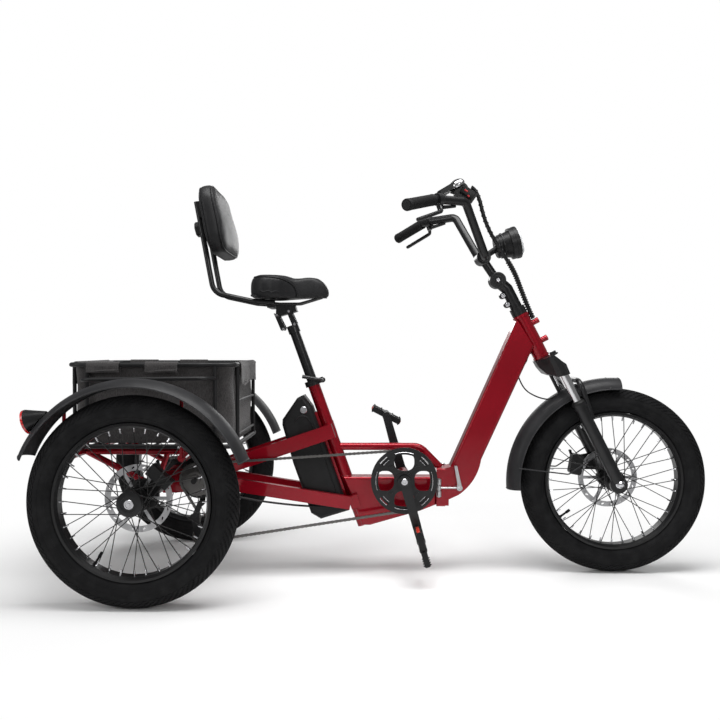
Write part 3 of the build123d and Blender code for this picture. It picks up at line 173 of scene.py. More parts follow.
sky = bpy.data.worlds.new("studio")
sky.use_nodes = True
scene.world = sky
sky_wire = Wire(sky.node_tree)
seen = sky_wire.node("LightPath", output="Is Camera Ray")
glimpsed = sky_wire.node("LightPath", output="Is Transmission Ray")
sky_level = 0.22
sky_strength = sky_level + (1 - sky_level) * sky_wire.math("MAXIMUM", seen, glimpsed)
sky.node_tree.nodes["Background"].inputs["Color"].default_value = (1, 1, 1, 1)
sky.node_tree.links.new(sky_strength.socket, sky.node_tree.nodes["Background"].inputs["Strength"])

bpy.ops.object.select_all(action="DESELECT")
bpy.ops.mesh.primitive_plane_add(size=60, location=(0, 0, 0))
floor = bpy.context.object
floor.name = "floor"
floor_finish, floor_place = new_finish("pale_floor", (0.9, 0.9, 0.9), {"Roughness": 0.7})
floor_tree = floor_finish.node_tree
across, along, _ = floor_place.axes()
reach = (across * across * 0.5 + along * along).root()
glow = floor_place.node("Emission", None, {"Color": (1, 1, 1, 1), "Strength": 1.0})
plain = Wire(floor_tree, floor_tree.nodes["Principled BSDF"].outputs[0])
looked_at = floor_place.node("LightPath", output="Is Camera Ray")
faded = floor_place.node("MixShader", None, {0: looked_at * reach.between(0.55, 1.2), 1: plain, 2: glow})
floor_tree.links.new(faded.socket, floor_tree.nodes["Material Output"].inputs["Surface"])
floor.data.materials.append(floor_finish)
scene.view_settings.view_transform = "Standard"

# ---- Tyres -----------------------------------------------------------------------------------------
# Three balloon tyres of black rubber. Each has a smooth side wall with two moulded rings and a
# crown of small slanted blocks, and its beads sit between the rim's walls.
rear_axle_x = -0.6635
front_axle_x = 0.6745
axle_height = 0.275
half_track = 0.336
both_sides = (("left", 1), ("right", -1))
wheels = (
    ("front", front_axle_x, 0.0, "front_wheel", 1),
    ("rear_left", rear_axle_x, half_track, "rear_wheel_left", 1),
    ("rear_right", rear_axle_x, -half_track, "rear_wheel_right", -1),
)
tyre_middle = 0.237
tyre_bulge = 0.0365
tyre_seat = 0.2052
tread_height = 0.0016
tread_steps = 288
section_points = 52


def begin():
    """Back to object mode with nothing selected, ready for a new primitive."""
    if bpy.context.object and bpy.context.object.mode != "OBJECT":
        bpy.ops.object.mode_set(mode="OBJECT")
    bpy.ops.object.select_all(action="DESELECT")
    bpy.context.tool_settings.mesh_select_mode = (True, False, False)


def edit_all():
    """Go into edit mode with everything selected."""
    bpy.ops.object.mode_set(mode="EDIT")
    bpy.ops.mesh.select_all(action="SELECT")


def draw_out(shift):
    """Extrude what is selected by a shift."""
    bpy.ops.mesh.extrude_region_move(TRANSFORM_OT_translate={"value": shift})


def pick(piece, chosen, what="FACE"):
    """In edit mode, select the faces, edges or vertices that a test chooses, and nothing else."""
    bpy.context.tool_settings.mesh_select_mode = (what == "VERT", what == "EDGE", what == "FACE")
    mesh = bmesh.from_edit_mesh(piece.data)
    mesh.verts.ensure_lookup_table()
    for group in (mesh.verts, mesh.edges, mesh.faces):
        for element in group:
            element.select_set(False)
    group = {"VERT": mesh.verts, "EDGE": mesh.edges, "FACE": mesh.faces}[what]
    for element in group:
        if chosen(element):
            element.select_set(True)
    bmesh.update_edit_mesh(piece.data)


def take(piece):
    """Make a piece the only selected one and the active one, in object mode."""
    begin()
    piece.select_set(True)
    bpy.context.view_layer.objects.active = piece
    return piece


def face_outward(piece, fill=False):
    """Turn all the normals outward, closing any open ends first."""
    edit_all()
    if fill:
        bpy.ops.mesh.fill_holes(sides=0)
    bpy.ops.mesh.normals_make_consistent(inside=False)
    bpy.ops.object.mode_set(mode="OBJECT")
    return piece


def modify(piece, kind, **settings):
    """Add a modifier with these settings and apply it."""
    modifier = piece.modifiers.new(kind.lower(), kind)
    for name, value in settings.items():
        setattr(modifier, name, value)
    bpy.context.view_layer.objects.active = piece
    bpy.ops.object.modifier_apply(modifier=modifier.name)


def settle(piece, angle=35):
    """Leave edit mode, apply the piece's place to its mesh and smooth all but its sharp edges."""
    if piece.mode != "OBJECT":
        bpy.ops.object.mode_set(mode="OBJECT")
    bpy.ops.object.select_all(action="DESELECT")
    piece.select_set(True)
    bpy.context.view_layer.objects.active = piece
    bpy.ops.object.transform_apply(location=True, rotation=True, scale=True)
    bpy.ops.object.shade_smooth_by_angle(angle=radians(angle))
    return piece


def copy_at(piece, matrix):
    """A copy of a piece with a mesh of its own, moved by the matrix."""
    twin = piece.copy()
    twin.data = piece.data.copy()
    scene.collection.objects.link(twin)
    twin.data.transform(matrix)
    if matrix.determinant() < 0:
        twin.data.flip_normals()
    return twin


def fuse(pieces):
    """Join several pieces into the first one."""
    begin()
    for piece in pieces:
        piece.select_set(True)
    bpy.context.view_layer.objects.active = pieces[0]
    bpy.ops.object.join()
    return pieces[0]


def fit(piece, name, body, slot, material, *replaced):
    """Name a finished piece, give it its finish and let it ride on its body."""
    piece.name = name
    piece.data.name = name
    piece.data.materials.clear()
    piece.data.materials.append(material)
    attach(piece, body)
    if replaced:
        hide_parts(*replaced)
    return piece


def fit_all(parts, name, body, slot, material, *replaced, angle=35):
    """Join parts into one piece, smooth it and fit it."""
    return fit(settle(fuse(parts), angle), name, body, slot, material, *replaced)


def paint(material, *names):
    """Give CAD nodes their finish."""
    for name in names:
        nodes[name].data.materials.clear()
        nodes[name].data.materials.append(material)


rubber, place = new_finish(
    "tyre_rubber", (0.0085, 0.0085, 0.009), {"Roughness": 0.72, "Specular IOR Level": 0.14}
)
(place.noise(34, 4).between(0.35, 0.75)).tint(
    (0.0065, 0.0065, 0.007), (0.012, 0.012, 0.0126)
).feed("Base Color")
(0.62 + 0.22 * place.noise(60, 3)).feed("Roughness")
place.noise(900, 3).raise_by(0.00025)


def section_angle(point):
    """Where a point on the tyre lies round its section, from 0 at the crown to pi at the bead."""
    return atan2(abs(point.y), hypot(point.x, point.z) - tyre_middle)


def is_tread(face):
    """Slanted blocks on the crown, parted by grooves, with a plain rib along the middle."""
    centre = face.calc_center_median()
    angle = section_angle(centre)
    if angle > radians(66):
        return False
    step = int((atan2(centre.x, centre.z) + pi) / tau * tread_steps)
    row = int(angle / tau * section_points)
    return row == 0 or (row > 1 and (step + row) % 3 != 0)


begin()
bpy.ops.mesh.primitive_circle_add(
    vertices=section_points, radius=tyre_bulge, location=(0, 0, tyre_middle), rotation=(0, pi / 2, 0)
)
tyre = bpy.context.object
bpy.ops.object.transform_apply(location=True, rotation=True, scale=True)
for point in tyre.data.vertices:
    point.co.z = max(point.co.z, tyre_seat)
edit_all()
bpy.ops.mesh.spin(steps=tread_steps, angle=tau, center=(0, 0, 0), axis=(0, 1, 0))
bpy.ops.mesh.select_all(action="SELECT")
bpy.ops.mesh.remove_doubles(threshold=0.0001)
bpy.ops.mesh.normals_make_consistent(inside=False)
pick(tyre, is_tread)
bpy.ops.mesh.extrude_region_shrink_fatten(TRANSFORM_OT_shrink_fatten={"value": tread_height})
for low, high in ((82, 88), (118, 124)):
    pick(tyre, lambda face: low < section_angle(face.calc_center_median()) * 180 / pi < high)
    bpy.ops.mesh.extrude_region_shrink_fatten(TRANSFORM_OT_shrink_fatten={"value": 0.0007})
settle(tyre, 40)
for prefix, axle_x, left, body, face in wheels:
    turned = Matrix.Translation((axle_x, left, axle_height))
    fit(copy_at(tyre, turned), prefix + "_tyre_tread", body, "tyre_rubber", rubber, prefix + "_tyre")
bpy.data.objects.remove(tyre)

# ---- Rims, spokes and valves -----------------------------------------------------------------------
# Double walled alloy rims in satin black, laced with black wire spokes. Every spoke ends at the rim
# in a bright nipple, and each rim has one rubber valve stem with a plastic cap.
rim_inner = 0.1917
spoke_count = 36
valve_turns = {"front": 234, "rear_left": 20, "rear_right": 212}


def turn(profile, centre, direction, sides=32, closed=False):
    """A turned piece: rings of (height, radius) along a direction, capped or closed into a ring."""
    begin()
    bpy.ops.mesh.primitive_circle_add(vertices=sides, radius=profile[0][1], location=(0, 0, profile[0][0]))
    piece = bpy.context.object
    bpy.ops.object.transform_apply(location=True)
    edit_all()
    steps = list(profile[1:]) + ([profile[0]] if closed else [])
    height, radius = profile[0]
    for next_height, next_radius in steps:
        draw_out((0, 0, next_height - height))
        if next_radius != radius:
            share = next_radius / radius
            bpy.ops.transform.resize(value=(share, share, 1), center_override=(0, 0, next_height))
        height, radius = next_height, next_radius
    bpy.ops.mesh.select_all(action="SELECT")
    if closed:
        bpy.ops.mesh.remove_doubles(threshold=0.00001)
    else:
        bpy.ops.mesh.fill_holes(sides=0)
    bpy.ops.mesh.normals_make_consistent(inside=False)
    bpy.ops.object.mode_set(mode="OBJECT")
    aim = Vector(direction).to_track_quat("Z", "Y").to_matrix().to_4x4()
    piece.data.transform(Matrix.Translation(Vector(centre)) @ aim)
    return piece


def satin(name, colour, roughness, coat=0.0, grain=1500, lift=0.00003):
    """A painted or moulded finish with a faint grain and slightly uneven gloss."""
    material, here = new_finish(name, colour, {"Coat Roughness": 0.12, "Specular IOR Level": 0.22})
    shade = here.noise(26, 3)
    dark = tuple(0.82 * part for part in colour)
    light = tuple(1.2 * part for part in colour)
    shade.between(0.3, 0.7).tint(dark, light).feed("Base Color")
    (roughness - 0.05 + 0.1 * here.noise(70, 2)).feed("Roughness")
    material.node_tree.nodes["Principled BSDF"].inputs["Coat Weight"].default_value = coat
    here.noise(grain, 2).raise_by(lift)
    return material


def metal(name, colour, roughness, stretch=(1, 1, 1), lift=0.00002):
    """Bare metal with fine tool marks; the marks are drawn out along the axis with least stretch."""
    material, here = new_finish(name, colour, {"Metallic": 1.0})
    drawn = here.node("Mapping", None, {"Vector": here, "Scale": stretch})
    marks = drawn.noise(420, 3)
    (roughness - 0.06 + 0.12 * marks).feed("Roughness")
    marks.raise_by(lift)
    shade = here.noise(18, 2).between(0.3, 0.7)
    shade.tint(tuple(0.86 * part for part in colour), colour).feed("Base Color")
    return material


rim_black = satin("rim_black", (0.008, 0.008, 0.0085), 0.34, 0.2)
spoke_black = satin("spoke_black", (0.01, 0.01, 0.01), 0.3, 0.4)
bright = metal("bright_metal", (0.62, 0.62, 0.64), 0.24)
paint(rim_black, "front_rim", "rear_left_rim", "rear_right_rim")
paint(spoke_black, "front_spokes", "rear_left_spokes", "rear_right_spokes")

nipple = turn([(-0.013, 0.0016), (-0.0125, 0.0021), (-0.003, 0.0023), (0.0, 0.003)], (0, 0, 0), (0, 0, 1), 8)
stem_steps = [
    (-0.036, 0.0036), (-0.035, 0.0042), (-0.022, 0.0042), (-0.021, 0.0029), (-0.006, 0.0032), (0.0, 0.0052)
]
stem_rubber = turn(stem_steps, (0, 0, 0), (0, 0, 1), 14)
for prefix, axle_x, left, body, face in wheels:
    nipples = []
    for index in range(spoke_count):
        spun = Matrix.Rotation(tau * index / spoke_count, 4, "Y")
        aside = 0.004 * face * (1 if index % 2 else -1)
        place = Matrix.Translation((axle_x, left + aside, axle_height)) @ spun
        nipples.append(copy_at(nipple, place @ Matrix.Translation((0, 0, rim_inner))))
    fit(fuse(nipples), prefix + "_nipples", body, "spoke_steel", bright)
    spun = Matrix.Rotation(radians(valve_turns[prefix]), 4, "Y")
    place = Matrix.Translation((axle_x, left, axle_height)) @ spun @ Matrix.Translation((0, 0, rim_inner))
    fit(copy_at(stem_rubber, place), prefix + "_valve", body, "tyre_rubber", rubber)
bpy.data.objects.remove(nipple)
bpy.data.objects.remove(stem_rubber)

# ---- Hubs, brake discs and axles -------------------------------------------------------------------
# Black hubs with pressed steel brake discs bolted on. The rear hubs are keyed on their shafts behind
# a black cap with a bright nut, and the front hub turns on an axle held by domed nuts.
hub_black = satin("hub_black", (0.009, 0.009, 0.0095), 0.32, 0.2)
disc_steel = metal("disc_steel", (0.42, 0.42, 0.43), 0.3)
disc_places = (("front", 0.042), ("rear_left", 0.294), ("rear_right", -0.294))
for prefix, disc_left in disc_places:
    hub = nodes[prefix + "_hub"]
    paint(hub_black, prefix + "_hub")
    hub.data.materials.append(disc_steel)
    axle_x = front_axle_x if prefix == "front" else rear_axle_x
    for polygon in hub.data.polygons:
        middle = polygon.center
        if abs(middle.y - disc_left) < 0.0016 and hypot(middle.x - axle_x, middle.z - axle_height) > 0.031:
            polygon.material_index = 1

bolt = turn(
    [
        (-0.002, 0.0045), (0.0022, 0.0045), (0.0032, 0.0036), (0.0032, 0.0021), (0.0014, 0.0021)
    ], (0, 0, 0), (0, 0, 1), 12
)


def bolts(places, direction, scale, name, body, slot, material):
    """Round head bolts with a socket, all facing one way."""
    aim = Vector(direction).to_track_quat("Z", "Y").to_matrix().to_4x4()
    made = [copy_at(bolt, Matrix.Translation(place) @ aim @ Matrix.Scale(scale, 4)) for place in places]
    return fit(fuse(made), name, body, slot, material)


def ring_of(centre, radius, count, start=0):
    """Places round a circle that faces across the tricycle."""
    places = []
    for index in range(count):
        angle = radians(start) + tau * index / count
        places.append(Vector(centre) + radius * Vector((cos(angle), 0, sin(angle))))
    return places


for prefix, axle_x, left, body, face in wheels:
    disc_left = dict(disc_places)[prefix]
    outward = 1 if prefix == "front" else -face
    screws = ring_of((axle_x, disc_left + 0.001 * outward, axle_height), 0.024, 6, 30)
    bolts(screws, (0, outward, 0), 0.8, prefix + "_disc_bolts", body, "hub_black", bright)

cap_steps = [(0, 0.033), (0.004, 0.034), (0.008, 0.032), (0.0095, 0.024), (0.0095, 0.021), (0.008, 0.021)]
nut_steps = [
    (0.0075, 0.0125), (0.0108, 0.0125), (0.0118, 0.0115), (0.0118, 0.0088), (0.0100, 0.0082),
    (0.0100, 0.0045), (0.0125, 0.0040),
]
for prefix, axle_x, left, body, face in wheels[1:]:
    outboard = (axle_x, left + 0.030 * face, axle_height)
    fit(turn(cap_steps, outboard, (0, face, 0), 40), prefix + "_hub_cap", body, "hub_black", hub_black)
    fit(turn(nut_steps, outboard, (0, face, 0), 30), prefix + "_axle_nut", body, "hub_black", bright)
    settle(bpy.data.objects[prefix + "_hub_cap"])
    settle(bpy.data.objects[prefix + "_axle_nut"])
for side_name, side in both_sides:
    outboard = (front_axle_x, 0.081 * side, axle_height)
    domed = [
        (-0.009, 0.0105), (-0.0085, 0.013), (-0.0065, 0.013), (-0.006, 0.0095), (0.004, 0.0095),
        (0.008, 0.006), (0.009, 0.002),
    ]
    fit(
        turn(domed, outboard, (0, side, 0), 24), "front_axle_nut_" + side_name, "steering", "black_metal",
        bright,
    )
axle_black = satin("axle_black", (0.012, 0.012, 0.012), 0.4)
paint(axle_black, "front_axle", "rear_axle_left", "rear_axle_right")

# ---- Red frame -------------------------------------------------------------------------------------
# Welded steel tubes and plates in candy red: a clear red coat over fine bright flake, with a hard
# clear lacquer on top. Rolled weld beads show at the joints, under the same paint.
red_paint, here = new_finish(
    "frame_red", (0.26, 0.003, 0.012),
    {
        "Metallic": 0.5, "Specular IOR Level": 0.12, "Coat IOR": 1.36, "Coat Weight": 0.9,
        "Coat Roughness": 0.05,
    },
)
flake = here.noise(1900, 2).between(0.42, 0.62)
wash = here.noise(5, 2).between(0.3, 0.7)
(0.72 * flake + 0.28 * wash).tint((0.20, 0.0012, 0.007), (0.36, 0.004, 0.016)).feed("Base Color")
(0.27 + 0.12 * here.noise(160, 2)).feed("Roughness")
here.noise(75, 2).raise_by(0.00009)
paint(
    red_paint, "seat_tube", "lower_beam", "top_rail", "upper_stays", "lower_stays", "rear_subframe",
    "main_beam", "battery_rail",
)


def at(x, y, z):
    """A point x ahead of the rear axle, y to the left and z above it."""
    return Vector((rear_axle_x + x, y, axle_height + z))


def steer(ahead, left, up):
    """A point in the fork's own directions, from the foot of the steering axis."""
    lean = radians(27)
    foot = Vector((front_axle_x - 0.022 * cos(lean), 0, axle_height - 0.022 * sin(lean)))
    return foot + Vector((ahead * cos(lean) - up * sin(lean), left, ahead * sin(lean) + up * cos(lean)))


def seat(ahead, left, up):
    """A point in the seat tube's own directions, from its axis at crank height."""
    lean = radians(19.7)
    foot = at(0.541, 0, 0.003)
    return foot + Vector((ahead * cos(lean) - up * sin(lean), left, ahead * sin(lean) + up * cos(lean)))


def swept(points, radius, order=3, cyclic=False, swell=None, sides=3, detail=6):
    """A rod along the points as a mesh, or just a line where the radius is 0.

    swell gives each point's share of the radius.
    """
    begin()
    line = bpy.data.curves.new("line", "CURVE")
    line.dimensions = "3D"
    line.bevel_depth = radius
    line.bevel_resolution = sides
    line.use_fill_caps = True
    line.resolution_u = detail
    spline = line.splines.new("NURBS" if order else "POLY")
    spline.points.add(len(points) - 1)
    for index, point in enumerate(points):
        spline.points[index].co = (*point, 1)
        if swell:
            spline.points[index].radius = swell[index]
    spline.use_cyclic_u = cyclic
    if order:
        spline.order_u = order
        spline.use_endpoint_u = not cyclic
    piece = bpy.data.objects.new("line", line)
    scene.collection.objects.link(piece)
    piece.select_set(True)
    bpy.context.view_layer.objects.active = piece
    bpy.ops.object.convert(target="MESH")
    return bpy.context.object


def weld(points, cyclic=False, radius=0.0026, pitch=0.0022):
    """A rolled bead along straight runs between the points, with its ripples."""
    stations = []
    runs = list(zip(points, points[1:] + points[:1] if cyclic else points[1:]))
    for start, end in runs:
        start, end = Vector(start), Vector(end)
        count = max(1, round((end - start).length / pitch))
        stations += [start.lerp(end, index / count) for index in range(count)]
    swell = [1.0 if index % 2 else 0.8 for index in range(len(stations))]
    return swept(stations, radius, 0, cyclic, swell, 1)


def hoop(centre, ahead, aside, count=40):
    """Points on an ellipse with the two half axes."""
    angles = [tau * index / count for index in range(count)]
    return [Vector(centre) + Vector(ahead) * cos(angle) + Vector(aside) * sin(angle) for angle in angles]


beads = [
    weld(hoop(at(0.5385, 0, 0.011), (0.0192, 0, 0), (0, 0.0182, 0)), True),
    weld(hoop(at(0.541, 0, -0.074), (0.0192, 0, 0), (0, 0.0182, 0)), True),
]
fit(fuse(beads), "rear_frame_welds", "rear_frame", "frame_red", red_paint)

# ---- Folding joint ---------------------------------------------------------------------------------
# The two frame halves fold on a steel pin at the left. At the right a bright screw clamp holds them
# together, with a hooked lever that swings over to lock it.
bright_cast = metal("bright_cast", (0.56, 0.56, 0.57), 0.34, lift=0.00005)
paint(bright_cast, "fold_latch")
clamp_screw = at(0.8725, -0.0395, -0.019)
fit(
    turn(
        [
            (-0.006, 0.0068), (-0.005, 0.0082), (0.004, 0.0082), (0.005, 0.0068), (0.009, 0.0042),
            (0.0115, 0.003),
        ],
        clamp_screw, (1, 0, 0), 6,
    ),
    "clamp_nut",
    "rear_frame",
    "latch_silver",
    bright,
)
pin_ends = [at(0.834, 0.046, 0.0385), at(0.834, 0.046, -0.0765)]
fit(
    copy_at(bolt, Matrix.Translation(pin_ends[0]) @ Matrix.Scale(1.3, 4)), "fold_pin_head", "rear_frame",
    "latch_silver", bright,
)

# ---- Motor, sprockets and chains -------------------------------------------------------------------
# A drum motor between the stays drives one long and one short roller chain. The plates and rollers
# of both chains are oiled steel, and a spring cage with two jockey wheels keeps the long one tight.
motor_case = satin("motor_case", (0.013, 0.013, 0.0135), 0.42, 0.15, 900, 0.00006)
oiled = metal("oiled_steel", (0.16, 0.155, 0.15), 0.36)
black_steel = satin("black_steel", (0.013, 0.013, 0.0135), 0.36, 0.15)
paint(motor_case, "drive_motor")
paint(oiled, "cassette")
paint(black_steel, "differential", "rear_derailleur")
shaft = at(0.100, 0, 0.010)
for side_name, side in both_sides:
    screws = ring_of(shaft + Vector((0, 0.0432 * side, 0)), 0.047, 8, 10)
    bolts(screws, (0, side, 0), 0.9, "motor_screws_" + side_name, "rear_frame", "motor_case", bright)

chain_pitch = 0.0127


def sprocket(centre, root, teeth, thick, name, body, slot, material):
    """A ring of tapered teeth round a sprocket plate."""
    begin()
    bpy.ops.mesh.primitive_cube_add(size=1, location=(0, 0, 0), scale=(0.0062, thick, 0.0045))
    tooth = bpy.context.object
    bpy.ops.object.transform_apply(location=True, scale=True)
    bpy.ops.object.mode_set(mode="EDIT")
    pick(tooth, lambda face: face.normal.z > 0.9)
    bpy.ops.transform.resize(value=(0.35, 0.7, 1), center_override=(0, 0, 0.00225))
    bpy.ops.object.mode_set(mode="OBJECT")
    made = []
    for index in range(teeth):
        spun = Matrix.Rotation(tau * (index + 0.5) / teeth, 4, "Y")
        made.append(
            copy_at(tooth, Matrix.Translation(centre) @ spun @ Matrix.Translation((0, 0, root + 0.0015)))
        )
    bpy.data.objects.remove(tooth)
    return fit(fuse(made), name, body, slot, material)


def make_link():
    """One roller chain link along x: two waisted plates and a roller between them."""
    parts = []
    for side in (1, -1):
        begin()
        bpy.ops.mesh.primitive_circle_add(
            vertices=16, radius=0.0042, fill_type="NGON", location=(0, 0.0024 * side, 0),
            rotation=(pi / 2, 0, 0),
        )
        plate = bpy.context.object
        bpy.ops.object.transform_apply(location=True, rotation=True)
        for point in plate.data.vertices:
            point.co.x += 0.0058 * (1 if point.co.x > 0.0001 else -1 if point.co.x < -0.0001 else 0)
            if abs(point.co.x) < 0.001:
                point.co.z *= 0.72
        bpy.ops.object.mode_set(mode="EDIT")
        bpy.ops.mesh.select_all(action="SELECT")
        draw_out((0, 0.0011 * side, 0))
        bpy.ops.mesh.select_all(action="SELECT")
        bpy.ops.mesh.normals_make_consistent(inside=False)
        bpy.ops.object.mode_set(mode="OBJECT")
        parts.append(plate)
    parts.append(turn([(-0.0026, 0.0036), (0.0026, 0.0036)], (-0.00635, 0, 0), (0, 1, 0), 10))
    return fuse(parts)


def chain_route(wheels):
    """Evenly spaced places round wheels given as (ahead, above, radius), each with its heading."""
    meets = [None] * len(wheels)
    leaves = [None] * len(wheels)
    for index, wheel in enumerate(wheels):
        goal = wheels[(index + 1) % len(wheels)]
        across, rise = goal[0] - wheel[0], goal[1] - wheel[1]
        away = (wheel[2] - goal[2]) / hypot(across, rise)
        heading = atan2(rise, across) + atan2(away, sqrt(1 - away * away))
        leaves[index] = (wheel[0] + wheel[2] * sin(heading), wheel[1] - wheel[2] * cos(heading))
        meets[(index + 1) % len(wheels)] = (
            goal[0] + goal[2] * sin(heading), goal[1] - goal[2] * cos(heading)
        )
    corners = []
    for index, wheel in enumerate(wheels):
        start = atan2(meets[index][1] - wheel[1], meets[index][0] - wheel[0])
        end = atan2(leaves[index][1] - wheel[1], leaves[index][0] - wheel[0])
        swing = (end - start) % tau
        if wheel[2] < 0:
            swing -= tau
        count = max(2, round(abs(swing * wheel[2]) / 0.002))
        for step in range(count + 1):
            angle = start + swing * step / count
            corners.append(
                Vector((wheel[0] + abs(wheel[2]) * cos(angle), 0, wheel[1] + abs(wheel[2]) * sin(angle)))
            )
    lengths = [(after - before).length for before, after in zip(corners, corners[1:] + corners[:1])]
    total = sum(lengths)
    count = 2 * round(total / chain_pitch / 2)
    stations = []
    index, passed = 0, 0.0
    for step in range(count):
        goal = total * step / count
        while passed + lengths[index] < goal:
            passed += lengths[index]
            index += 1
        before, after = corners[index], corners[(index + 1) % len(corners)]
        stations.append(before.lerp(after, (goal - passed) / lengths[index]))
    return stations


def chain(wheels, left, name, node):
    """A roller chain: links end to end, with every second pair of plates set outside its neighbours."""
    link = make_link()
    stations = chain_route(wheels)
    made = []
    for index, here in enumerate(stations):
        ahead = stations[(index + 1) % len(stations)] - here
        middle = here + ahead / 2
        spun = Matrix.Rotation(-atan2(ahead.z, ahead.x), 4, "Y")
        spread = Matrix.Diagonal((1, 1.0 if index % 2 else 0.78, 1, 1))
        made.append(copy_at(link, Matrix.Translation(at(middle.x, left, middle.z)) @ spun @ spread))
    bpy.data.objects.remove(link)
    fit(fuse(made), name, "rear_frame", "chain_steel", oiled, node)


drive_loop = (
    (0.710, 0.009, -0.0883),
    (0.108, -0.158, -0.0163),
    (0.096, -0.100, 0.0163),
    (0.100, 0.010, -0.0453),
)
chain(drive_loop, -0.075, "drive_chain_links", "drive_chain")
chain(((0.100, 0.010, -0.0323), (0.0, 0.0, -0.0543)), 0.075, "axle_chain_links", "axle_chain")

sprocket_radii = (0.050, 0.045, 0.041, 0.037, 0.033, 0.030, 0.027)
for index, radius in enumerate(sprocket_radii):
    left = -(0.0653 + 0.0046 * index + 0.0005)
    sprocket(
        shaft + Vector((0, left, 0)), radius - 0.0015, round(tau * radius / chain_pitch), 0.0016,
        f"cassette_teeth_{index}", "rear_frame", "black_metal", oiled,
    )
sprocket(
    shaft + Vector((0, 0.075, 0)), 0.0265, 14, 0.002, "motor_sprocket_teeth", "rear_frame", "motor_case",
    oiled,
)
sprocket(at(0, 0.075, 0), 0.0485, 25, 0.002, "axle_sprocket_teeth", "rear_frame", "black_metal", oiled)
for index, (ahead, above) in enumerate(((0.096, -0.100), (0.108, -0.158))):
    sprocket(
        at(ahead, -0.075, above), 0.0095, 11, 0.002, f"jockey_teeth_{index}", "rear_frame",
        "derailleur_black", black_steel,
    )
    bolts(
        [at(ahead, -0.0815, above)], (0, -1, 0), 0.8, f"jockey_bolt_{index}", "rear_frame",
        "derailleur_black", bright,
    )

# ---- Brake calipers --------------------------------------------------------------------------------
# Cable pulled disc calipers: a cast body in two halves, an arm that the cable pulls and steel bolts.
cast_black = satin("cast_black", (0.013, 0.013, 0.0135), 0.45, 0.1, 500, 0.0001)
paint(cast_black, "rear_calipers", "front_caliper")


def brake_arm(pivot, side, body, name):
    """The lever on a caliper's outer face, with its cable clamp."""
    parts = [
        turn(
            [(0, 0.0135), (0.004, 0.0135), (0.006, 0.011), (0.006, 0.006), (0.009, 0.006), (0.010, 0.004)],
            pivot, (0, side, 0), 20,
        )
    ]
    reach = Vector(pivot) + Vector((-0.012, 0.005 * side, 0.038))
    parts.append(
        swept([Vector(pivot) + Vector((0, 0.005 * side, 0)), Vector(pivot).lerp(reach, 0.6), reach], 0.0042)
    )
    parts.append(turn([(-0.005, 0.0045), (0.004, 0.0045), (0.005, 0.003)], reach, (0, side, 0), 6))
    fit_all(parts, name, body, "brake_black", black_steel)


brake_arm(Vector((front_axle_x - 0.096, 0.0615, axle_height + 0.040)), 1, "steering", "front_brake_arm")
for side_name, side in both_sides:
    brake_arm(at(0.056, 0.2748 * side, 0.056), -side, "rear_frame", "rear_brake_arm_" + side_name)

# ---- Fenders and tail lights -----------------------------------------------------------------------
# Pressed steel fenders in fine textured charcoal, with rolled edges and a band at each open end.
# Each rear fender carries a bell shaped lamp with a red lens.
charcoal = satin("charcoal", (0.018, 0.018, 0.0195), 0.5, 0.05, 1300, 0.00005)
edge_grey = satin("edge_grey", (0.03, 0.03, 0.032), 0.45, 0.1, 1300, 0.00004)
paint(charcoal, "rear_fender_left", "rear_fender_right", "front_fender")


def rolled_edges(centre, edge, crown, half_width, low, high, name, body, ends):
    """Beads along both edges of a fender, and a band over its section at the given angles."""
    parts = []
    for side in (1, -1):
        angles = [radians(low + (high - low) * step / 40) for step in range(41)]
        points = [
            Vector(centre) + Vector(
                ((edge - 0.0015) * cos(turned), side * (half_width - 0.001), (edge - 0.0015) * sin(turned))
            ) for turned in angles
        ]
        parts.append(swept(points, 0.0022))
    for turned in ends:
        rise = crown - edge
        points = []
        for step in range(21):
            share = -1 + step / 10
            radius = edge + rise * (1 - share * share) - 0.0006
            points.append(
                Vector(centre) + Vector(
                    (radius * cos(radians(turned)), share * half_width, radius * sin(radians(turned)))
                )
            )
        parts.append(swept(points, 0.0019))
    return fit(fuse(parts), name, body, "fender", edge_grey)


for side_name, side in both_sides:
    rolled_edges(
        at(0, half_track * side, 0), 0.300, 0.318, 0.045, 20, 158, "rear_fender_edges_" + side_name,
        "rear_frame", (20.4, 157.6),
    )
rolled_edges(
    (front_axle_x - 0.004, 0, axle_height - 0.006), 0.282, 0.313, 0.045, 86, 184, "front_fender_edges",
    "steering", (86.4, 93, 183.6),
)

lamp_body = satin("lamp_body", (0.009, 0.009, 0.0095), 0.32, 0.2)
red_lens, here = new_finish(
    "red_lens", (0.50, 0.006, 0.008), {"Roughness": 0.14, "Coat Weight": 1.0, "Coat Roughness": 0.03}
)
across, along, up = here.axes()
ribs = (along * 900).sine() * (up * 900).sine()
ribs.raise_by(0.0004)
ribs.between(-0.5, 0.5).tint((0.40, 0.004, 0.006), (0.62, 0.012, 0.012)).feed("Base Color")
paint(lamp_body, "tail_lights")
nodes["tail_lights"].data.materials.append(red_lens)
lens_face = Vector((-0.95, 0, -0.3)).normalized()
lamp_mouth = at(-0.222, 0, 0.222).dot(lens_face) + 0.0515
for polygon in nodes["tail_lights"].data.polygons:
    if polygon.center.dot(lens_face) > lamp_mouth:
        polygon.material_index = 1

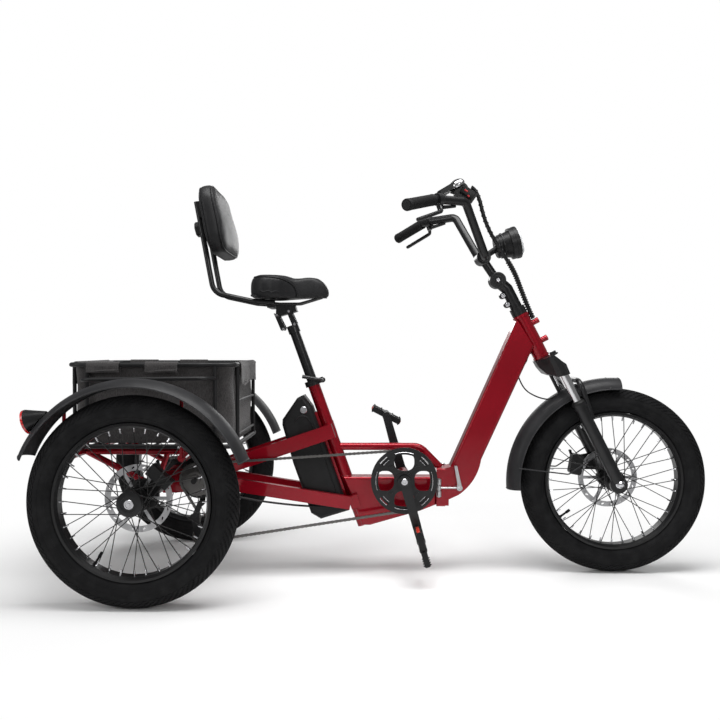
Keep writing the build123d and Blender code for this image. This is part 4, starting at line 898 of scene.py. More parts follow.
# ---- Battery ---------------------------------------------------------------------------------------
# A moulded battery case slides on the red rail behind the seat tube. A raised lip runs down near its
# front edge on both sides, and a round key lock sits near the top.
textured = satin("textured_plastic", (0.009, 0.009, 0.0095), 0.42, 0.05, 1100, 0.00008)
paint(textured, "battery")
ridges = []
for side in (1, -1):
    low_lip = [seat(-0.040, 0.0408 * side, up) for up in (-0.070, 0.030, 0.130, 0.190)]
    high_lip = [
        seat(-0.048, 0.0408 * side, 0.222), seat(-0.075, 0.0408 * side, 0.228),
        seat(-0.088, 0.0408 * side, 0.215),
    ]
    ridges.append(swept(low_lip + high_lip, 0.0021))
fit(fuse(ridges), "battery_lips", "rear_frame", "battery_case", textured)
lock_steps = [
    (-0.002, 0.0105), (0.0022, 0.0105), (0.0032, 0.0095), (0.0032, 0.0068), (0.0018, 0.0062),
    (0.0018, 0.0022), (0.0005, 0.0018),
]
fit(
    settle(turn(lock_steps, seat(-0.050, -0.041, 0.240), (0, -1, 0), 32)), "battery_lock", "rear_frame",
    "battery_case", bright,
)

# ---- Seat clamp and post ---------------------------------------------------------------------------
# A quick release collar pinches the seat tube's top. The post carries two links and a spring, so
# the saddle gives a little over bumps.
post_black = satin("post_black", (0.011, 0.011, 0.0115), 0.32, 0.25)
paint(post_black, "seat_clamp", "seat_post", "saddle_base", "backrest_frame")
clamp = seat(0.024, 0, 0.306)
lever = [
    clamp + Vector((0.006, -0.012, 0)), clamp + Vector((0.008, -0.024, 0.001)),
    clamp + Vector((-0.004, -0.032, 0.004)), clamp + Vector((-0.052, -0.033, 0.012)),
]
parts = [
    swept(lever, 0.0042, swell=[1, 1, 1.1, 1.35]),
    turn([(-0.018, 0.005), (0.018, 0.005)], clamp + Vector((0.006, 0, 0)), (0, 1, 0), 16),
]
parts.append(
    turn([(-0.004, 0.008), (0.004, 0.008), (0.005, 0.006)], clamp + Vector((0.006, 0.016, 0)), (0, 1, 0), 20)
)
fit_all(parts, "seat_release_lever", "rear_frame", "post_black", post_black)
link_bolts = [at(0.351, 0, 0.453), at(0.331, 0, 0.494), at(0.384, 0, 0.467), at(0.367, 0, 0.506)]
for side_name, side in both_sides:
    bolts(
        [place + Vector((0, 0.021 * side, 0)) for place in link_bolts], (0, side, 0), 1.0,
        "post_link_bolts_" + side_name, "rear_frame", "post_black", bright,
    )

# ---- Saddle and backrest ---------------------------------------------------------------------------
# Foam pads under black grained vinyl, pulled tight and sewn with corded seams. The saddle has two
# wide wings and a nose. The backrest swells to meet the lower back, and slides on a knobbed bracket.
vinyl, here = new_finish(
    "vinyl", (0.012, 0.012, 0.013), {"Specular IOR Level": 0.22, "Coat Roughness": 0.3, "Coat Weight": 0.05}
)
pebble = here.node("TexVoronoi", {"feature": "SMOOTH_F1"}, {"Vector": here, "Scale": 620.0}, 0)
pebble.between(0.1, 0.6).raise_by(0.00016)
here.noise(9, 3).between(0.3, 0.7).tint((0.009, 0.009, 0.0098), (0.016, 0.016, 0.017)).feed("Base Color")
(0.42 + 0.14 * here.noise(40, 3)).feed("Roughness")


def shape_rings(rim, levels, heart=(0, 0, 0)):
    """A capped pad: a rim of points extruded through (height, share of its size) levels."""
    begin()
    bpy.ops.mesh.primitive_circle_add(vertices=len(rim), radius=0.1, location=(0, 0, 0))
    piece = bpy.context.object
    for point, (across, up) in zip(piece.data.vertices, rim):
        point.co = (across, up, levels[0][0])
    edit_all()
    height, share = levels[0]
    bpy.ops.transform.resize(value=(share, share, 1), center_override=heart)
    for next_height, next_share in levels[1:]:
        draw_out((0, 0, next_height - height))
        bpy.ops.transform.resize(value=(next_share / share, next_share / share, 1), center_override=heart)
        height, share = next_height, next_share
    bpy.ops.object.mode_set(mode="OBJECT")
    return face_outward(piece, fill=True)


def plump(piece, voxel, pressure, most):
    """Swell a closed shape as foam under a cover does, moving no point further than the limit."""
    take(piece)
    modify(piece, "REMESH", mode="VOXEL", voxel_size=voxel)
    modify(piece, "SMOOTH", factor=0.5, iterations=6)
    before = [point.co.copy() for point in piece.data.vertices]
    cloth = piece.modifiers.new("cover", "CLOTH")
    cloth.settings.use_pressure = True
    cloth.settings.uniform_pressure_force = pressure
    cloth.settings.effector_weights.gravity = 0
    cloth.settings.shrink_min = 0.04
    cloth.collision_settings.use_collision = False
    cloth.point_cache.frame_start = 1
    cloth.point_cache.frame_end = 20
    for frame_number in range(1, 21):
        scene.frame_set(frame_number)
    bpy.ops.object.modifier_apply(modifier=cloth.name)
    for point, start in zip(piece.data.vertices, before):
        moved = point.co - start
        if moved.length > most:
            point.co = start + moved * (most / moved.length)
    scene.frame_set(1)
    modify(piece, "SMOOTH", factor=0.5, iterations=10)
    modify(piece, "SUBSURF", levels=1, render_levels=1)


def laid_on(piece, corners, cyclic=False):
    """A smooth line of points on a piece's surface that follows the corners."""
    for _ in range(4):
        pairs = list(zip(corners, corners[1:] + corners[:1] if cyclic else corners[1:]))
        cut = [spot for start, end in pairs for spot in (start.lerp(end, 0.25), start.lerp(end, 0.75))]
        corners = cut if cyclic else [corners[0]] + cut + [corners[-1]]
    return [piece.closest_point_on_mesh(spot)[1] for spot in corners]


def channel(piece, line, width, depth):
    """Press a sewn seam into the surface along a line of points."""
    for point in piece.data.vertices:
        near = min((point.co - spot).length for spot in line)
        if near < width:
            fall = 1 - near / width
            point.co -= point.normal * depth * fall * fall * (3 - 2 * fall)


saddle_half = (
    (0.249, 0.0), (0.251, 0.030), (0.257, 0.060), (0.270, 0.086), (0.292, 0.101), (0.318, 0.100),
    (0.345, 0.086), (0.368, 0.066), (0.388, 0.050), (0.410, 0.040), (0.435, 0.034), (0.460, 0.029),
    (0.480, 0.020), (0.490, 0.009), (0.492, 0.0),
)
saddle_base = 0.543
saddle_levels = (
    (0.0, 0.955), (0.006, 0.985), (0.024, 1.0), (0.044, 0.995), (0.056, 0.965), (0.063, 0.90), (0.067, 0.78),
    (0.069, 0.5),
)
saddle_heights = (
    (0.24, 0.94), (0.27, 1.0), (0.36, 1.0), (0.400, 0.91), (0.437, 0.985), (0.455, 0.94), (0.475, 0.78),
    (0.492, 0.52),
)


def saddle_share(ahead):
    """The saddle's height at a distance ahead of the axle, as a share of its greatest."""
    for (start, low), (end, high) in zip(saddle_heights, saddle_heights[1:]):
        if ahead <= end:
            part = max(0.0, (ahead - start) / (end - start))
            return low + (high - low) * part * part * (3 - 2 * part)
    return saddle_heights[-1][1]


saddle_rim = list(saddle_half) + [(ahead, -aside) for ahead, aside in saddle_half[-2:0:-1]]
saddle_pad = shape_rings(saddle_rim, saddle_levels, (0.345, 0, 0))
for point in saddle_pad.data.vertices:
    point.co.z *= saddle_share(point.co.x)
saddle_pad.data.transform(Matrix.Translation(at(0, 0, saddle_base)))
plump(saddle_pad, 0.005, 3.0, 0.004)
seams = []
for side in (1, -1):
    wing = (
        (0.262, 0.0, 0.062), (0.266, 0.050, 0.063), (0.285, 0.088, 0.062), (0.320, 0.094, 0.062),
        (0.358, 0.074, 0.058), (0.386, 0.055, 0.044), (0.396, 0.048, 0.022), (0.397, 0.046, 0.0),
    )
    seams.append(
        laid_on(saddle_pad, [at(ahead, aside * side, saddle_base + up) for ahead, aside, up in wing])
    )
    channel(saddle_pad, seams[-1], 0.006, 0.0016)
settle(saddle_pad, 80)
saddle_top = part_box("saddle")[1][2]
for point in saddle_pad.data.vertices:
    point.co.z = min(point.co.z, saddle_top)
fit(saddle_pad, "saddle_cushion", "rear_frame", "vinyl", vinyl, "saddle")
trims = [swept(seam, 0.0019) for seam in seams]
for side in (1, -1):
    wave = [
        (0.272, 0.012), (0.284, 0.017), (0.300, 0.009), (0.318, 0.018), (0.336, 0.010), (0.352, 0.017),
        (0.372, 0.013),
    ]
    line = [at(ahead, side * 0.12, saddle_base + up) for ahead, up in wave]
    trims.append(swept(laid_on(saddle_pad, line), 0.0014))
fit_all(trims, "saddle_piping", "rear_frame", "vinyl", vinyl, angle=80)

back_lean = radians(11)


def back(across, up, out):
    """A point on the backrest: across, up its face from its middle and out towards the rider."""
    foot = at(0.176, 0, 0.662) + 0.108 * Vector((-sin(back_lean), 0, cos(back_lean)))
    return foot + Vector(
        (out * cos(back_lean) - up * sin(back_lean), across, out * sin(back_lean) + up * cos(back_lean))
    )


def rounded(half_wide, half_high, corner, count=9):
    """Points round a rectangle with round corners, centred on the pad."""
    points = []
    for quarter, (across, up) in enumerate(((1, 1), (-1, 1), (-1, -1), (1, -1))):
        for step in range(count):
            angle = quarter * pi / 2 + pi / 2 * step / (count - 1)
            points.append(
                (
                    across * (half_wide - corner) + corner * cos(angle),
                    up * (half_high - corner) + corner * sin(angle),
                )
            )
    return points


pad_levels = (
    (-0.023, 0.90), (-0.021, 0.955), (-0.015, 0.99), (0.0, 1.0), (0.013, 0.99), (0.020, 0.955), (0.023, 0.88)
)
pad_rim = rounded(0.145, 0.104, 0.060)
back_pad = shape_rings(pad_rim, pad_levels)
for point in back_pad.data.vertices:
    point.co = back(*point.co)
plump(back_pad, 0.005, 4.0, 0.004)
for point in back_pad.data.vertices:
    height = (point.co - back(0, 0, 0)).dot(Vector((-sin(back_lean), 0, cos(back_lean))))
    out = (point.co - back(0, 0, 0)).dot(Vector((cos(back_lean), 0, sin(back_lean))))
    if out > 0.004:
        swell = (1 - (point.co.y / 0.15) ** 2) * (0.5 + 0.5 * cos(pi * min(1.0, abs(height + 0.028) / 0.085)))
        lift = 0.012 * swell * min(1.0, (out - 0.004) / 0.016)
        point.co += lift * Vector((cos(back_lean), 0, sin(back_lean)))
seams = []
for share, out in ((0.955, 0.0215), (0.965, -0.0205)):
    seams.append(laid_on(back_pad, [back(across * share, up * share, out) for across, up in pad_rim], True))
    channel(back_pad, seams[-1], 0.006, 0.0016)
settle(back_pad, 80)
fit(back_pad, "backrest_cushion", "rear_frame", "vinyl", vinyl, "backrest_pad")
fit_all(
    [swept(seam, 0.0019, cyclic=True) for seam in seams], "backrest_piping", "rear_frame",
    "vinyl", vinyl, angle=80,
)
def bevelled(size, edge):
    """A box about the origin with its edges rounded."""
    begin()
    bpy.ops.mesh.primitive_cube_add(size=1, location=(0, 0, 0), scale=size)
    piece = bpy.context.object
    bpy.ops.object.transform_apply(scale=True)
    edit_all()
    bpy.ops.mesh.bevel(offset=edge, segments=3, affect="EDGES")
    bpy.ops.object.mode_set(mode="OBJECT")
    return piece


def box_piece(centre, size, ahead, up, edge, name, slot, material, body="steering"):
    """A box with rounded edges, turned so that its length lies ahead and its height up."""
    piece = bevelled(size, edge)
    ahead = Vector(ahead).normalized()
    aside = Vector(up).cross(ahead).normalized()
    turned = Matrix((ahead, aside, ahead.cross(aside))).transposed().to_4x4()
    piece.data.transform(Matrix.Translation(Vector(centre)) @ turned)
    return fit(settle(piece), name, body, slot, material)


slider = bevelled((0.020, 0.070, 0.100), 0.006)
slider.data.transform(Matrix.Translation(at(0.1155, 0, 0.770)) @ Matrix.Rotation(-back_lean, 4, "Y"))
fit(settle(slider), "backrest_slider", "rear_frame", "post_black", post_black)
knob_steps = [
    (0, 0.008), (0.006, 0.008), (0.006, 0.020), (0.008, 0.023), (0.020, 0.023), (0.023, 0.020), (0.023, 0.006)
]
knob_foot = at(0.108, 0, 0.756)
knob_line = Vector((-0.98, 0, -0.19)).normalized()
knob = turn(knob_steps, knob_foot, (-0.98, 0, -0.19), 24)
for index, point in enumerate(knob.data.vertices):
    arm = point.co - knob_foot
    radial = arm - knob_line * arm.dot(knob_line)
    if radial.length > 0.019 and index % 4 < 2:
        point.co -= radial.normalized() * 0.0016
fit(settle(knob, 25), "backrest_knob", "rear_frame", "post_black", textured)

# ---- Basket ----------------------------------------------------------------------------------------
# A welded tube basket with a sewn liner of heathered canvas. The liner stands inside the tubes, and
# straps and flaps of the same cloth fold over the rim tube and hang outside it.
basket_black = satin("basket_black", (0.014, 0.014, 0.0148), 0.44, 0.1)
paint(basket_black, "basket_frame")
canvas, here = new_finish(
    "canvas", (0.062, 0.057, 0.057),
    {"Roughness": 0.85, "Sheen Weight": 0.25, "Sheen Roughness": 0.5, "Specular IOR Level": 0.25},
)
across, along, up = here.axes()
weave = (across * 2600 + along * 2600).sine() * (up * 2600 + along * 900).sine()
heather = here.node("Mapping", None, {"Vector": here, "Scale": (1, 1, 0.16)}).noise(900, 2)
(
    0.65 * heather.between(0.35, 0.68) + 0.35 * here.noise(240, 3)
).tint((0.020, 0.0185, 0.0185), (0.072, 0.067, 0.067)).feed("Base Color")
weave.raise_by(0.0002)
cloth_thickness = 0.0016
basket_low, basket_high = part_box("basket_liner")
half_wide = basket_high[1] - 0.0015
middle_x = (basket_low[0] + basket_high[0]) / 2
half_long = (basket_high[0] - basket_low[0]) / 2 - 0.0015
begin()
bpy.ops.mesh.primitive_circle_add(vertices=36, radius=0.1, location=(0, 0, 0))
liner = bpy.context.object
rim_points = rounded(half_long, half_wide, 0.034)
for point, (ahead, aside) in zip(liner.data.vertices, rim_points):
    point.co = (middle_x + ahead, aside, basket_high[2] - 0.002)
edit_all()
bpy.ops.mesh.subdivide(number_cuts=3)
bpy.ops.mesh.select_all(action="SELECT")
depth = basket_high[2] - basket_low[2]
for step in range(18):
    draw_out((0, 0, -(depth - 0.004) / 18))
bpy.ops.mesh.edge_face_add()
bpy.ops.mesh.inset(thickness=0.012)
bpy.ops.mesh.select_all(action="SELECT")
bpy.ops.mesh.normals_make_consistent(inside=False)
bpy.ops.object.mode_set(mode="OBJECT")
for point in liner.data.vertices:
    drop = (basket_high[2] - point.co.z) / depth
    if drop < 0.98:
        run = point.co.x * 31 + point.co.y * 27
        pull = sin(pi * min(1, drop * 1.05))
        sway = 0.0032 * sin(run + 5 * drop) + 0.0018 * sin(2.3 * run - 9 * drop)
        inward = Vector((point.co.x - middle_x, point.co.y, 0)).normalized()
        point.co -= inward * (0.0028 + sway) * pull
modify(liner, "SOLIDIFY", thickness=cloth_thickness, offset=-1)
settle(liner, 70)
fit(liner, "basket_liner_cloth", "rear_frame", "basket_fabric", canvas, "basket_liner")


flap_inside = 0.030
flap_over = 0.021
flap_tube = 0.0082
flap_slack = 0.0012


def flap(start, end, outward, drop, lift, name, waves):
    """Cloth folded over a rim tube between two points and hanging outside it, with a sewn cord."""
    start, end, outward = Vector(start), Vector(end), Vector(outward)
    length = (end - start).length
    begin()
    bpy.ops.mesh.primitive_grid_add(x_subdivisions=36, y_subdivisions=24, size=1, location=(0, 0, 0))
    piece = bpy.context.object
    for point in piece.data.vertices:
        along, over = point.co.x + 0.5, point.co.y + 0.5
        spot = start.lerp(end, along)
        travel = over * (flap_inside + flap_over + drop) - flap_inside
        if travel < 0:
            spot += -outward * flap_tube + Vector((0, 0, travel))
        elif travel < pi * flap_tube:
            angle = travel / flap_tube
            spot += -outward * flap_tube * cos(angle) + Vector((0, 0, flap_tube * sin(angle)))
        else:
            fallen = travel - pi * flap_tube
            share = fallen / drop
            slow = sin(along * waves * tau + 1.3 * share)
            quick = sin(along * waves * 2.3 * tau - 2 * share)
            ripple = flap_slack * share * slow + 0.6 * flap_slack * share * quick
            spot += outward * (flap_tube + 0.001 + max(-0.0005, ripple))
            spot -= Vector((0, 0, fallen * (1 + lift * sin(along * pi * 2.0))))
        point.co = spot
    hem = [piece.data.vertices[index].co.copy() for index in range(36 * 23, 36 * 24)]
    modify(piece, "SOLIDIFY", thickness=cloth_thickness, offset=0)
    take(piece)
    settle(face_outward(piece), 60)
    fit(piece, name, "rear_frame", "basket_fabric", canvas)
    trim = swept(hem, 0.0016)
    fit(trim, name + "_hem", "rear_frame", "basket_fabric", canvas)
    flap_inside + flap_over + drop


rim_left = 0.1885
rim_top = 0.3495
for side_name, side in both_sides:
    for number, (back_end, front_end) in enumerate(((-0.175, -0.085), (-0.012, 0.078))):
        ends = [at(ahead, rim_left * side, rim_top) for ahead in (back_end, front_end)]
        flap(*ends, (0, side, 0), 0.026, 0.02, f"basket_strap_{side_name}_{number}", 1.0)
for where, ahead, facing, lift in (("front", 0.2345, 1, 0.10), ("back", -0.2295, -1, 0.06)):
    ends = [at(ahead, aside, rim_top) for aside in (-0.130, 0.130)]
    flap(*ends, (facing, 0, 0), 0.060, lift, f"basket_{where}_flap", 3.0)

# ---- Suspension fork -------------------------------------------------------------------------------
# A telescopic fork: a forged crown holds two polished tubes that slide in cast lower legs. Rubber
# wipers seal the legs, and caps with adjusting knobs close the tubes at the crown.
fork_black = satin("fork_black", (0.011, 0.011, 0.0118), 0.34, 0.25, 700, 0.00005)
chrome = metal("chrome", (0.66, 0.66, 0.67), 0.13, (1, 1, 0.05))
seal_rubber = satin("seal_rubber", (0.008, 0.008, 0.008), 0.55)
paint(fork_black, "fork_crown", "fork_lowers")
paint(chrome, "fork_stanchions")
paint(black_steel, "axle_tube")
steering_line = steer(0, 0, 1) - steer(0, 0, 0)
wiper = [
    (-0.001, 0.0206), (0.0035, 0.0206), (0.006, 0.0178), (0.0095, 0.0162), (0.0095, 0.0134), (-0.001, 0.0134)
]
cap = [
    (-0.001, 0.0135), (0.0025, 0.0135), (0.0035, 0.012), (0.0035, 0.0098), (0.010, 0.0095), (0.0115, 0.0082)
]
wipers, caps = [], []
for side in (1, -1):
    wipers.append(turn(wiper, steer(0.022, 0.065 * side, 0.262), steering_line, 32, True))
    caps.append(turn(cap, steer(0.022, 0.065 * side, 0.4225), steering_line, 24))
fit_all(wipers, "fork_wipers", "steering", "fork_black", seal_rubber)
fit_all(caps, "fork_caps", "steering", "fork_black", fork_black)
race = [(-0.004, 0.0236), (-0.0035, 0.0247), (0.0035, 0.0247), (0.004, 0.0236)]
fit(
    settle(turn(race, steer(0, 0, 0.4285), steering_line, 40)), "headset_lower", "front_frame", "frame_red",
    red_paint,
)
fit(
    settle(turn(race, steer(0, 0, 0.5635), steering_line, 40)), "headset_upper", "front_frame", "frame_red",
    red_paint,
)
head_beads = []
for low, high, ahead in ((0.545, 0.552, 0.0), (0.448, 0.462, 0.0)):
    head_beads.append(
        weld([steer(-0.0225, 0.012, low), steer(-0.0205, 0.0, high), steer(-0.0225, -0.012, low)])
    )
fit(fuse(head_beads), "head_welds", "front_frame", "frame_red", red_paint)

# ---- Stem and handlebar ----------------------------------------------------------------------------
# An adjustable stem with a capped pivot, clamped to the steering tube by two bolts at its back. The
# swept bar carries ribbed grips with end caps, levers, a bell, a display and a control box.
bar_black = satin("bar_black", (0.010, 0.010, 0.0106), 0.34, 0.2)
lever_black = satin("lever_black", (0.012, 0.012, 0.0126), 0.3, 0.3)
grip_rubber = satin("grip_rubber", (0.0085, 0.0085, 0.009), 0.7, 0, 2200, 0.0001)
switch_plastic = satin("switch_plastic", (0.009, 0.009, 0.0095), 0.45, 0.05, 1400, 0.00006)
switch_red = satin("switch_red", (0.42, 0.010, 0.012), 0.35, 0.3)
paint(bar_black, "stem", "handlebar")
paint(lever_black, "brake_levers")
paint(switch_plastic, "display", "headlight")


def bar(x, y, z):
    """A point from the middle of the handlebar clamp."""
    return at(0.9474 + x, y, 0.6652 + z)


cap_rings = [
    (-0.001, 0.0245), (0.0015, 0.0245), (0.0025, 0.0232), (0.0025, 0.0180), (0.0012, 0.0172),
    (0.0012, 0.0128), (0.0034, 0.0122), (0.0034, 0.0095), (0.002, 0.0085),
]
bolt_rings = [(0.0015, 0.0064), (0.0048, 0.0064), (0.0054, 0.0058), (0.0054, 0.0030), (0.0034, 0.0028)]
pivot_faces = [(side, steer(-0.015, 0.0165 * side, 0.6903)) for side in (1, -1)]
knuckle = [turn(cap_rings, face, (0, side, 0), 40) for side, face in pivot_faces]
fit_all(knuckle, "stem_pivot_caps", "steering", "black_metal", bar_black)
pivot_bolts = [turn(bolt_rings, face, (0, side, 0), 6) for side, face in pivot_faces]
fit_all(pivot_bolts, "stem_pivot_bolts", "steering", "black_metal", bright)
ear_rings = [(-0.010, 0.0085), (-0.009, 0.0095), (0.009, 0.0095), (0.010, 0.0085)]
head_rings = [(0.0, 0.0072), (0.004, 0.0072), (0.005, 0.0062), (0.005, 0.0036), (0.003, 0.0034)]
nut_rings = [(0.0, 0.0066), (0.004, 0.0066), (0.0045, 0.0056)]
ears, ear_bolts = [], []
for up in (0.612, 0.642):
    ears.append(turn(ear_rings, steer(-0.0215, 0, up), (0, 1, 0), 24))
    ear_bolts.append(turn(head_rings, steer(-0.0215, -0.009, up), (0, -1, 0), 24))
    ear_bolts.append(turn(nut_rings, steer(-0.0215, 0.009, up), (0, 1, 0), 6))
fit_all(ears, "stem_clamp_ears", "steering", "black_metal", bar_black)
fit_all(ear_bolts, "stem_clamp_bolts", "steering", "black_metal", bright)

grip_start, grip_end = Vector((-0.1660, 0.1962, 0.1362)), Vector((-0.2434, 0.300, 0.1028))
grip_steps = [(0.0, 0.0142), (0.0004, 0.0162), (0.004, 0.0164), (0.0055, 0.0158), (0.0065, 0.0148)]
ribs_along = 26
grip_length = (grip_end - grip_start).length
for rib in range(ribs_along):
    foot = 0.008 + (grip_length - 0.024) * rib / ribs_along
    grip_steps += [(foot, 0.0149), (foot + 0.0008, 0.0158), (foot + 0.0024, 0.0158), (foot + 0.0032, 0.0149)]
grip_steps += [
    (grip_length - 0.014, 0.0149), (grip_length - 0.012, 0.0163), (grip_length - 0.0035, 0.0164),
    (grip_length - 0.0012, 0.0156), (grip_length - 0.0006, 0.0125), (grip_length - 0.0016, 0.0118),
    (grip_length - 0.0016, 0.004),
]
grips = []
for side in (1, -1):
    start = bar(grip_start.x, grip_start.y * side, grip_start.z)
    end = bar(grip_end.x, grip_end.y * side, grip_end.z)
    grips.append(turn(grip_steps, start, end - start, 40))
fit_all(grips, "ribbed_grips", "steering", "grip_rubber", grip_rubber, "grips", angle=40)

perch_rings = [(-0.009, 0.0075), (-0.008, 0.0085), (0.008, 0.0085), (0.009, 0.0075)]
screw_rings = [(0.0, 0.0045), (0.0025, 0.0045), (0.0035, 0.0038), (0.0035, 0.002), (0.0022, 0.0018)]
lever_parts, screws = [], []
for side in (1, -1):
    hinge = bar(-0.1455, 0.180 * side, 0.1215)
    hinge_line = Vector((-0.35, 0.25 * side, 1))
    lever_parts.append(turn(perch_rings, hinge, hinge_line, 20))
    barrel_foot = bar(-0.136, 0.170 * side, 0.121)
    barrel_tip = bar(-0.098, 0.143 * side, 0.1285)
    barrel = [barrel_foot, barrel_foot.lerp(barrel_tip, 0.5), barrel_tip]
    lever_parts.append(swept(barrel, 0.0048, swell=[1.2, 1.0, 0.8]))
    tip = bar(-0.209, 0.268 * side, 0.071)
    ball = [tip + Vector((0.004, -0.006 * side, 0.002)), tip, tip + Vector((-0.003, 0.004 * side, -0.001))]
    lever_parts.append(swept(ball, 0.0064, swell=[0.7, 1.0, 0.75]))
    screws.append(turn(screw_rings, hinge + 0.009 * hinge_line.normalized(), hinge_line, 16))
fit_all(lever_parts, "lever_perches", "steering", "brake_black", lever_black)
fit_all(screws, "lever_screws", "steering", "brake_black", bright)

clamp_at = Vector((-0.0654, -0.114, 0.1688))
screen_glass, here = new_finish(
    "screen_glass", (0.012, 0.013, 0.015), {"Roughness": 0.1, "Coat Weight": 1.0, "Coat Roughness": 0.03}
)
(0.08 + 0.06 * here.noise(90, 2)).feed("Roughness")
face = Vector((-0.5, 0, 0.86)).normalized()
face_ahead = Vector((0.86, 0, 0.5))
screen_middle = bar(*(clamp_at + Vector((-0.044, 0.012, 0.010)))) + face * 0.0142
box_piece(
    screen_middle, (0.060, 0.050, 0.0012), face_ahead, face, 0.0005, "display_glass", "display_plastic",
    screen_glass,
)
control_ahead, control_up = Vector((0.82, 0, -0.57)), Vector((0.57, 0, 0.82))
plate_middle = bar(*(clamp_at + Vector((0.006, -0.0112, 0.004))))
box_piece(
    plate_middle, (
        0.040, 0.003, 0.022
    ), control_ahead, control_up, 0.0012, "control_plate", "display_plastic",
    switch_plastic,
)
for number, (ahead, up, wide) in enumerate(((-0.004, 0.006, 0.011), (0.010, -0.003, 0.007))):
    spot = bar(*clamp_at) + control_ahead * ahead + control_up * up + Vector((0, -0.0128, 0))
    box_piece(
        spot, (wide, 0.003, 0.0045), control_ahead, control_up, 0.001, f"control_mark_{number}",
        "display_plastic", switch_red,
    )
bell_steps = [
    (-0.004, 0.0130), (0.0, 0.0225), (0.004, 0.0232), (0.007, 0.0224), (0.0125, 0.0195), (0.0165, 0.0135),
    (0.0185, 0.0045),
]
fit(
    settle(turn(bell_steps, bar(-0.088, -0.1130, 0.1925), (-0.45, -0.25, 0.86), 36), 50), "bell_dome",
    "steering", "display_plastic", chrome,
)

# ---- Headlight -------------------------------------------------------------------------------------
# A finned black lamp on a bracket, with a bowl of bright facets behind a domed clear lens, whose milky white
# colour is painted glare.
lamp_line = Vector((cos(radians(15)), 0, sin(radians(15))))
lamp_back = at(0.986, 0, 0.696)
reflector, here = new_finish("lamp_reflector", (0.8, 0.8, 0.82), {"Metallic": 1.0, "Roughness": 0.12})
facets = here.node("TexVoronoi", {"feature": "F1"}, {"Vector": here, "Scale": 190.0}, 0)
facets.raise_by(0.0008)
# The lens's near white base colour and low transmission are painted glare, so the clear lens looks bright.
lens_painted_glare, here = new_finish(
    "lens_painted_glare", (0.92, 0.93, 0.94), {"Transmission Weight": 0.25, "IOR": 1.4, "Roughness": 0.12}
)
(0.08 + 0.06 * here.noise(60, 2)).feed("Roughness")
bowl = [
    (0.0632, 0.0405), (0.0650, 0.0412), (0.0655, 0.0395), (0.0648, 0.030), (0.0645, 0.015), (0.0660, 0.007)
]
fit(
    settle(turn(bowl, lamp_back, lamp_line, 40), 50), "lamp_reflector", "steering", "headlight_body",
    reflector,
)
dome = [
    (0.0665, 0.0425), (0.0685, 0.0430), (0.0730, 0.0415), (0.0775, 0.0370), (0.0805, 0.0290),
    (0.0822, 0.0180), (0.0828, 0.0060),
]
fit(settle(turn(dome, lamp_back, lamp_line, 40), 50), "lamp_lens", "steering", "headlight_body", lens_painted_glare)
collar = [
    (0.0580, 0.0468), (0.0580, 0.0482), (0.0655, 0.0486), (0.0690, 0.0476), (0.0700, 0.0455),
    (0.0690, 0.0432), (0.0630, 0.0430),
]
fit(
    settle(turn(collar, lamp_back, lamp_line, 48, True)), "lamp_collar", "steering", "headlight_body",
    switch_plastic,
)

# ---- Cables ----------------------------------------------------------------------------------------
# The leads from the bar run down the front of the stem in a spiral wrapped bundle and enter the
# beam. Thin brake and motor leads leave the beam and run along the stays.
wrap_black = satin("wrap_black", (0.008, 0.008, 0.0085), 0.45, 0.1)
loom_points = [
    bar(*(clamp_at + Vector(step))) for step in (
        (0.018, 0.011, 0.022), (0.036, 0.014, 0.014), (0.058, 0.012, -0.084)
    )
]
loom_points += [
    steer(0.024, -0.054, 0.7643), steer(0.036, -0.032, 0.6943), steer(0.034, -0.014, 0.6403),
    steer(0.0305, -0.006, 0.5863), steer(0.0295, -0.003, 0.560), steer(0.0295, 0.0, 0.541),
]
loom = swept(loom_points, 0.0055, sides=4)
route_piece = swept(loom_points, 0, detail=24)
route = [point.co.copy() for point in route_piece.data.vertices]
bpy.data.objects.remove(route_piece)


def spiral(line, radius, pitch, first, last, per_turn=10):
    """Points of a helix round a line, from one share of its length to another."""
    lengths = [0.0]
    for start, end in zip(line, line[1:]):
        lengths.append(lengths[-1] + (end - start).length)
    points = []
    across = Vector((0, 1, 0))
    count = int((last - first) * lengths[-1] / pitch * per_turn)
    index = 0
    for step in range(count + 1):
        travel = (first + (last - first) * step / count) * lengths[-1]
        while index < len(line) - 2 and lengths[index + 1] < travel:
            index += 1
        run = line[index + 1] - line[index]
        spot = line[index] + run * ((travel - lengths[index]) / max(run.length, 1e-6))
        run.normalize()
        across = (across - run * across.dot(run)).normalized()
        angle = tau * step / per_turn
        points.append(spot + radius * (across * cos(angle) + run.cross(across) * sin(angle)))
    return points


coil = swept(spiral(route, 0.0060, 0.0078, 0.56, 0.995), 0.0026, sides=2)
sleeve = swept(spiral(route, 0.0056, 0.016, 0.03, 0.52), 0.0018, sides=2)
fit_all(
    [loom, coil, sleeve], "loom_wrapped", "steering", "cable_black", wrap_black,
    "cable_loom", angle=60,
)
lead_points = [
    at(1.0545, -0.014, 0.3085), at(1.0600, -0.022, 0.2900), at(1.0720, -0.035, 0.2700),
    at(1.0885, -0.050, 0.2581), at(1.1100, -0.052, 0.2490), at(1.1400, -0.045, 0.2430),
    at(1.1600, -0.040, 0.2560),
]
lead = swept(lead_points, 0.0021)
lead.name = lead.data.name = "front_brake_lead"
lead.data.materials.append(wrap_black)
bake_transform(lead)
loop_points = [
    at(1.0820, -0.006, 0.3850), at(1.0790, -0.013, 0.3640), at(1.0690, -0.016, 0.3480),
    at(1.0590, -0.014, 0.3370), at(1.0480, -0.006, 0.3380),
]
fit(swept(loop_points, 0.0046), "head_lead", "front_frame", "cable_black", wrap_black)
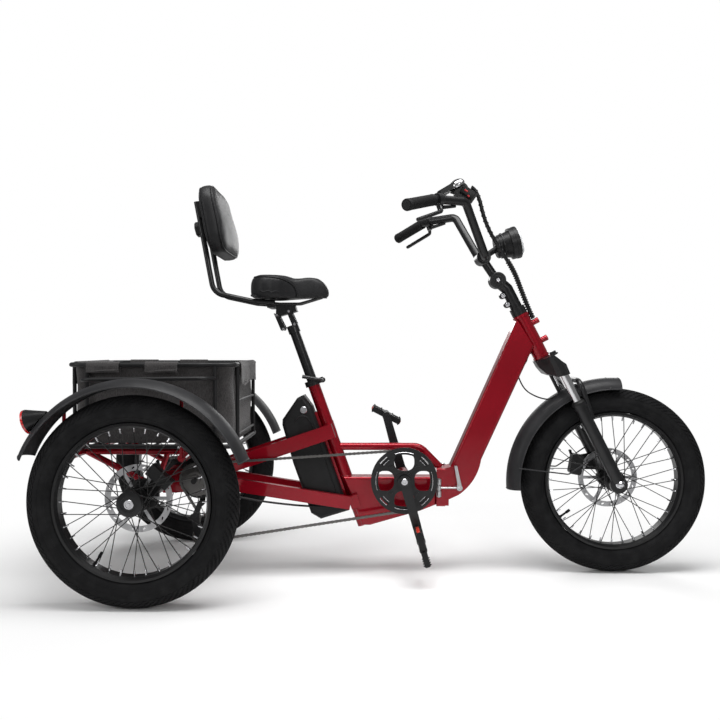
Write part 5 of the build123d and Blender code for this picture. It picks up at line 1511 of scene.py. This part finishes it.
for number, aside in enumerate((-0.004, 0.003)):
    stay_lead = [
        at(0.500, -0.030 + aside, -0.078), at(0.430, -0.046 + aside, -0.074),
        at(0.340, -0.070 + aside, -0.060), at(0.250, -0.078 + aside, -0.046),
        at(0.160, -0.090 + aside, -0.020),
    ]
    fit(swept(stay_lead, 0.0022), f"stay_lead_{number}", "rear_frame", "cable_black", wrap_black)

# ---- Crank and chainring ---------------------------------------------------------------------------
# Forged crank arms on a square shaft. A black guard with machined bright edges covers the ring.
crank_black = satin("crank_black", (0.011, 0.011, 0.0116), 0.36, 0.2)
paint(crank_black, "crankset", "chainring")
crank_centre = at(0.710, 0, 0.009)
guard_face = -0.0824


def arc_points(radius, middle, spread, out, count=14):
    """Points on an arc round the crank, from its middle angle out to both sides, in degrees."""
    angles = [radians(middle - spread + 2 * spread * step / count) for step in range(count + 1)]
    return [crank_centre + Vector((radius * cos(angle), out, radius * sin(angle))) for angle in angles]


edges = []
for quarter in range(4):
    for radius, turned, spread, thick in (
        (0.0830, 0, 19, 0.0013), (0.0868, 45, 9.5, 0.0011), (0.0752, 45, 8.5, 0.0009)
    ):
        edges.append(swept(arc_points(radius, 90 * quarter + turned, spread, guard_face), thick, sides=1))
fit_all(edges, "guard_edges", "crank", "chainring_black", bright, angle=60)
ring_bolts, arm_bolts = [], []
for quarter in range(4):
    angle = radians(90 * quarter + 45)
    place = crank_centre + Vector((0.054 * cos(angle), guard_face, 0.054 * sin(angle)))
    ring_bolts.append(
        turn(
            [(-0.001, 0.0052), (0.0012, 0.0052), (0.0018, 0.0045), (0.0018, 0.0026), (0.0006, 0.0024)], place,
            (0, -1, 0), 20,
        )
    )
for side in (1, -1):
    arm_bolts.append(
        turn(
            [(-0.001, 0.0098), (0.0015, 0.0098), (0.0028, 0.0086), (0.0028, 0.0046), (0.0010, 0.0042)],
            crank_centre + Vector((0, 0.100 * side, 0)), (0, side, 0), 28,
        )
    )
fit_all(ring_bolts, "guard_bolts", "crank", "chainring_black", black_steel)
fit_all(arm_bolts, "crank_bolts", "crank", "black_metal", bright)

# ---- Pedals ----------------------------------------------------------------------------------------
# Moulded platform pedals with short steel studs on both faces and amber reflectors at both ends.
pedal_plastic = satin("pedal_plastic", (0.011, 0.011, 0.0115), 0.5, 0, 900, 0.0001)
amber, here = new_finish(
    "amber", (0.75, 0.12, 0.02), {"Roughness": 0.2, "Coat Weight": 0.8, "Coat Roughness": 0.05}
)
cells = here.node("TexVoronoi", {"feature": "F1"}, {"Vector": here, "Scale": 420.0}, 0)
cells.tint((0.85, 0.07, 0.04), (0.5, 0.03, 0.015)).feed("Base Color")
cells.raise_by(0.0006)
paint(pedal_plastic, "pedal_left", "pedal_right")
for side_name, side, ahead, up, tilt in (
    ("left", 1, 0.6619, 0.1825, 27), ("right", -1, 0.7581, -0.1645, 74.5)
):
    middle = at(ahead, 0.149 * side, up)
    long_way = Vector((cos(radians(tilt)), 0, -sin(radians(tilt))))
    thick_way = Vector((long_way.z, 0, -long_way.x))
    studs = []
    for face in (1, -1):
        for end in (1, -1):
            places = [(0.0452, across) for across in (-0.034, -0.012, 0.012, 0.034)] + [(0.020, 0.038)]
            for along, across in places:
                spot = middle + long_way * (along * end) + thick_way * (0.0080 * face) + Vector(
                    (0, across, 0)
                )
                studs.append(
                    turn([(0.0, 0.0019), (0.0028, 0.0017), (0.0034, 0.0010)], spot, thick_way * face, 8)
                )
    fit_all(studs, "pedal_studs_" + side_name, side_name + "_pedal", "pedal_plastic", black_steel)
    for number, end in enumerate((1, -1)):
        box_piece(
            middle + long_way * (0.0492 * end), (0.0022, 0.062, 0.0095), long_way, thick_way, 0.0008,
            f"pedal_reflector_{side_name}_{number}", "pedal_plastic", amber, side_name + "_pedal",
        )

bpy.data.objects.remove(bolt)
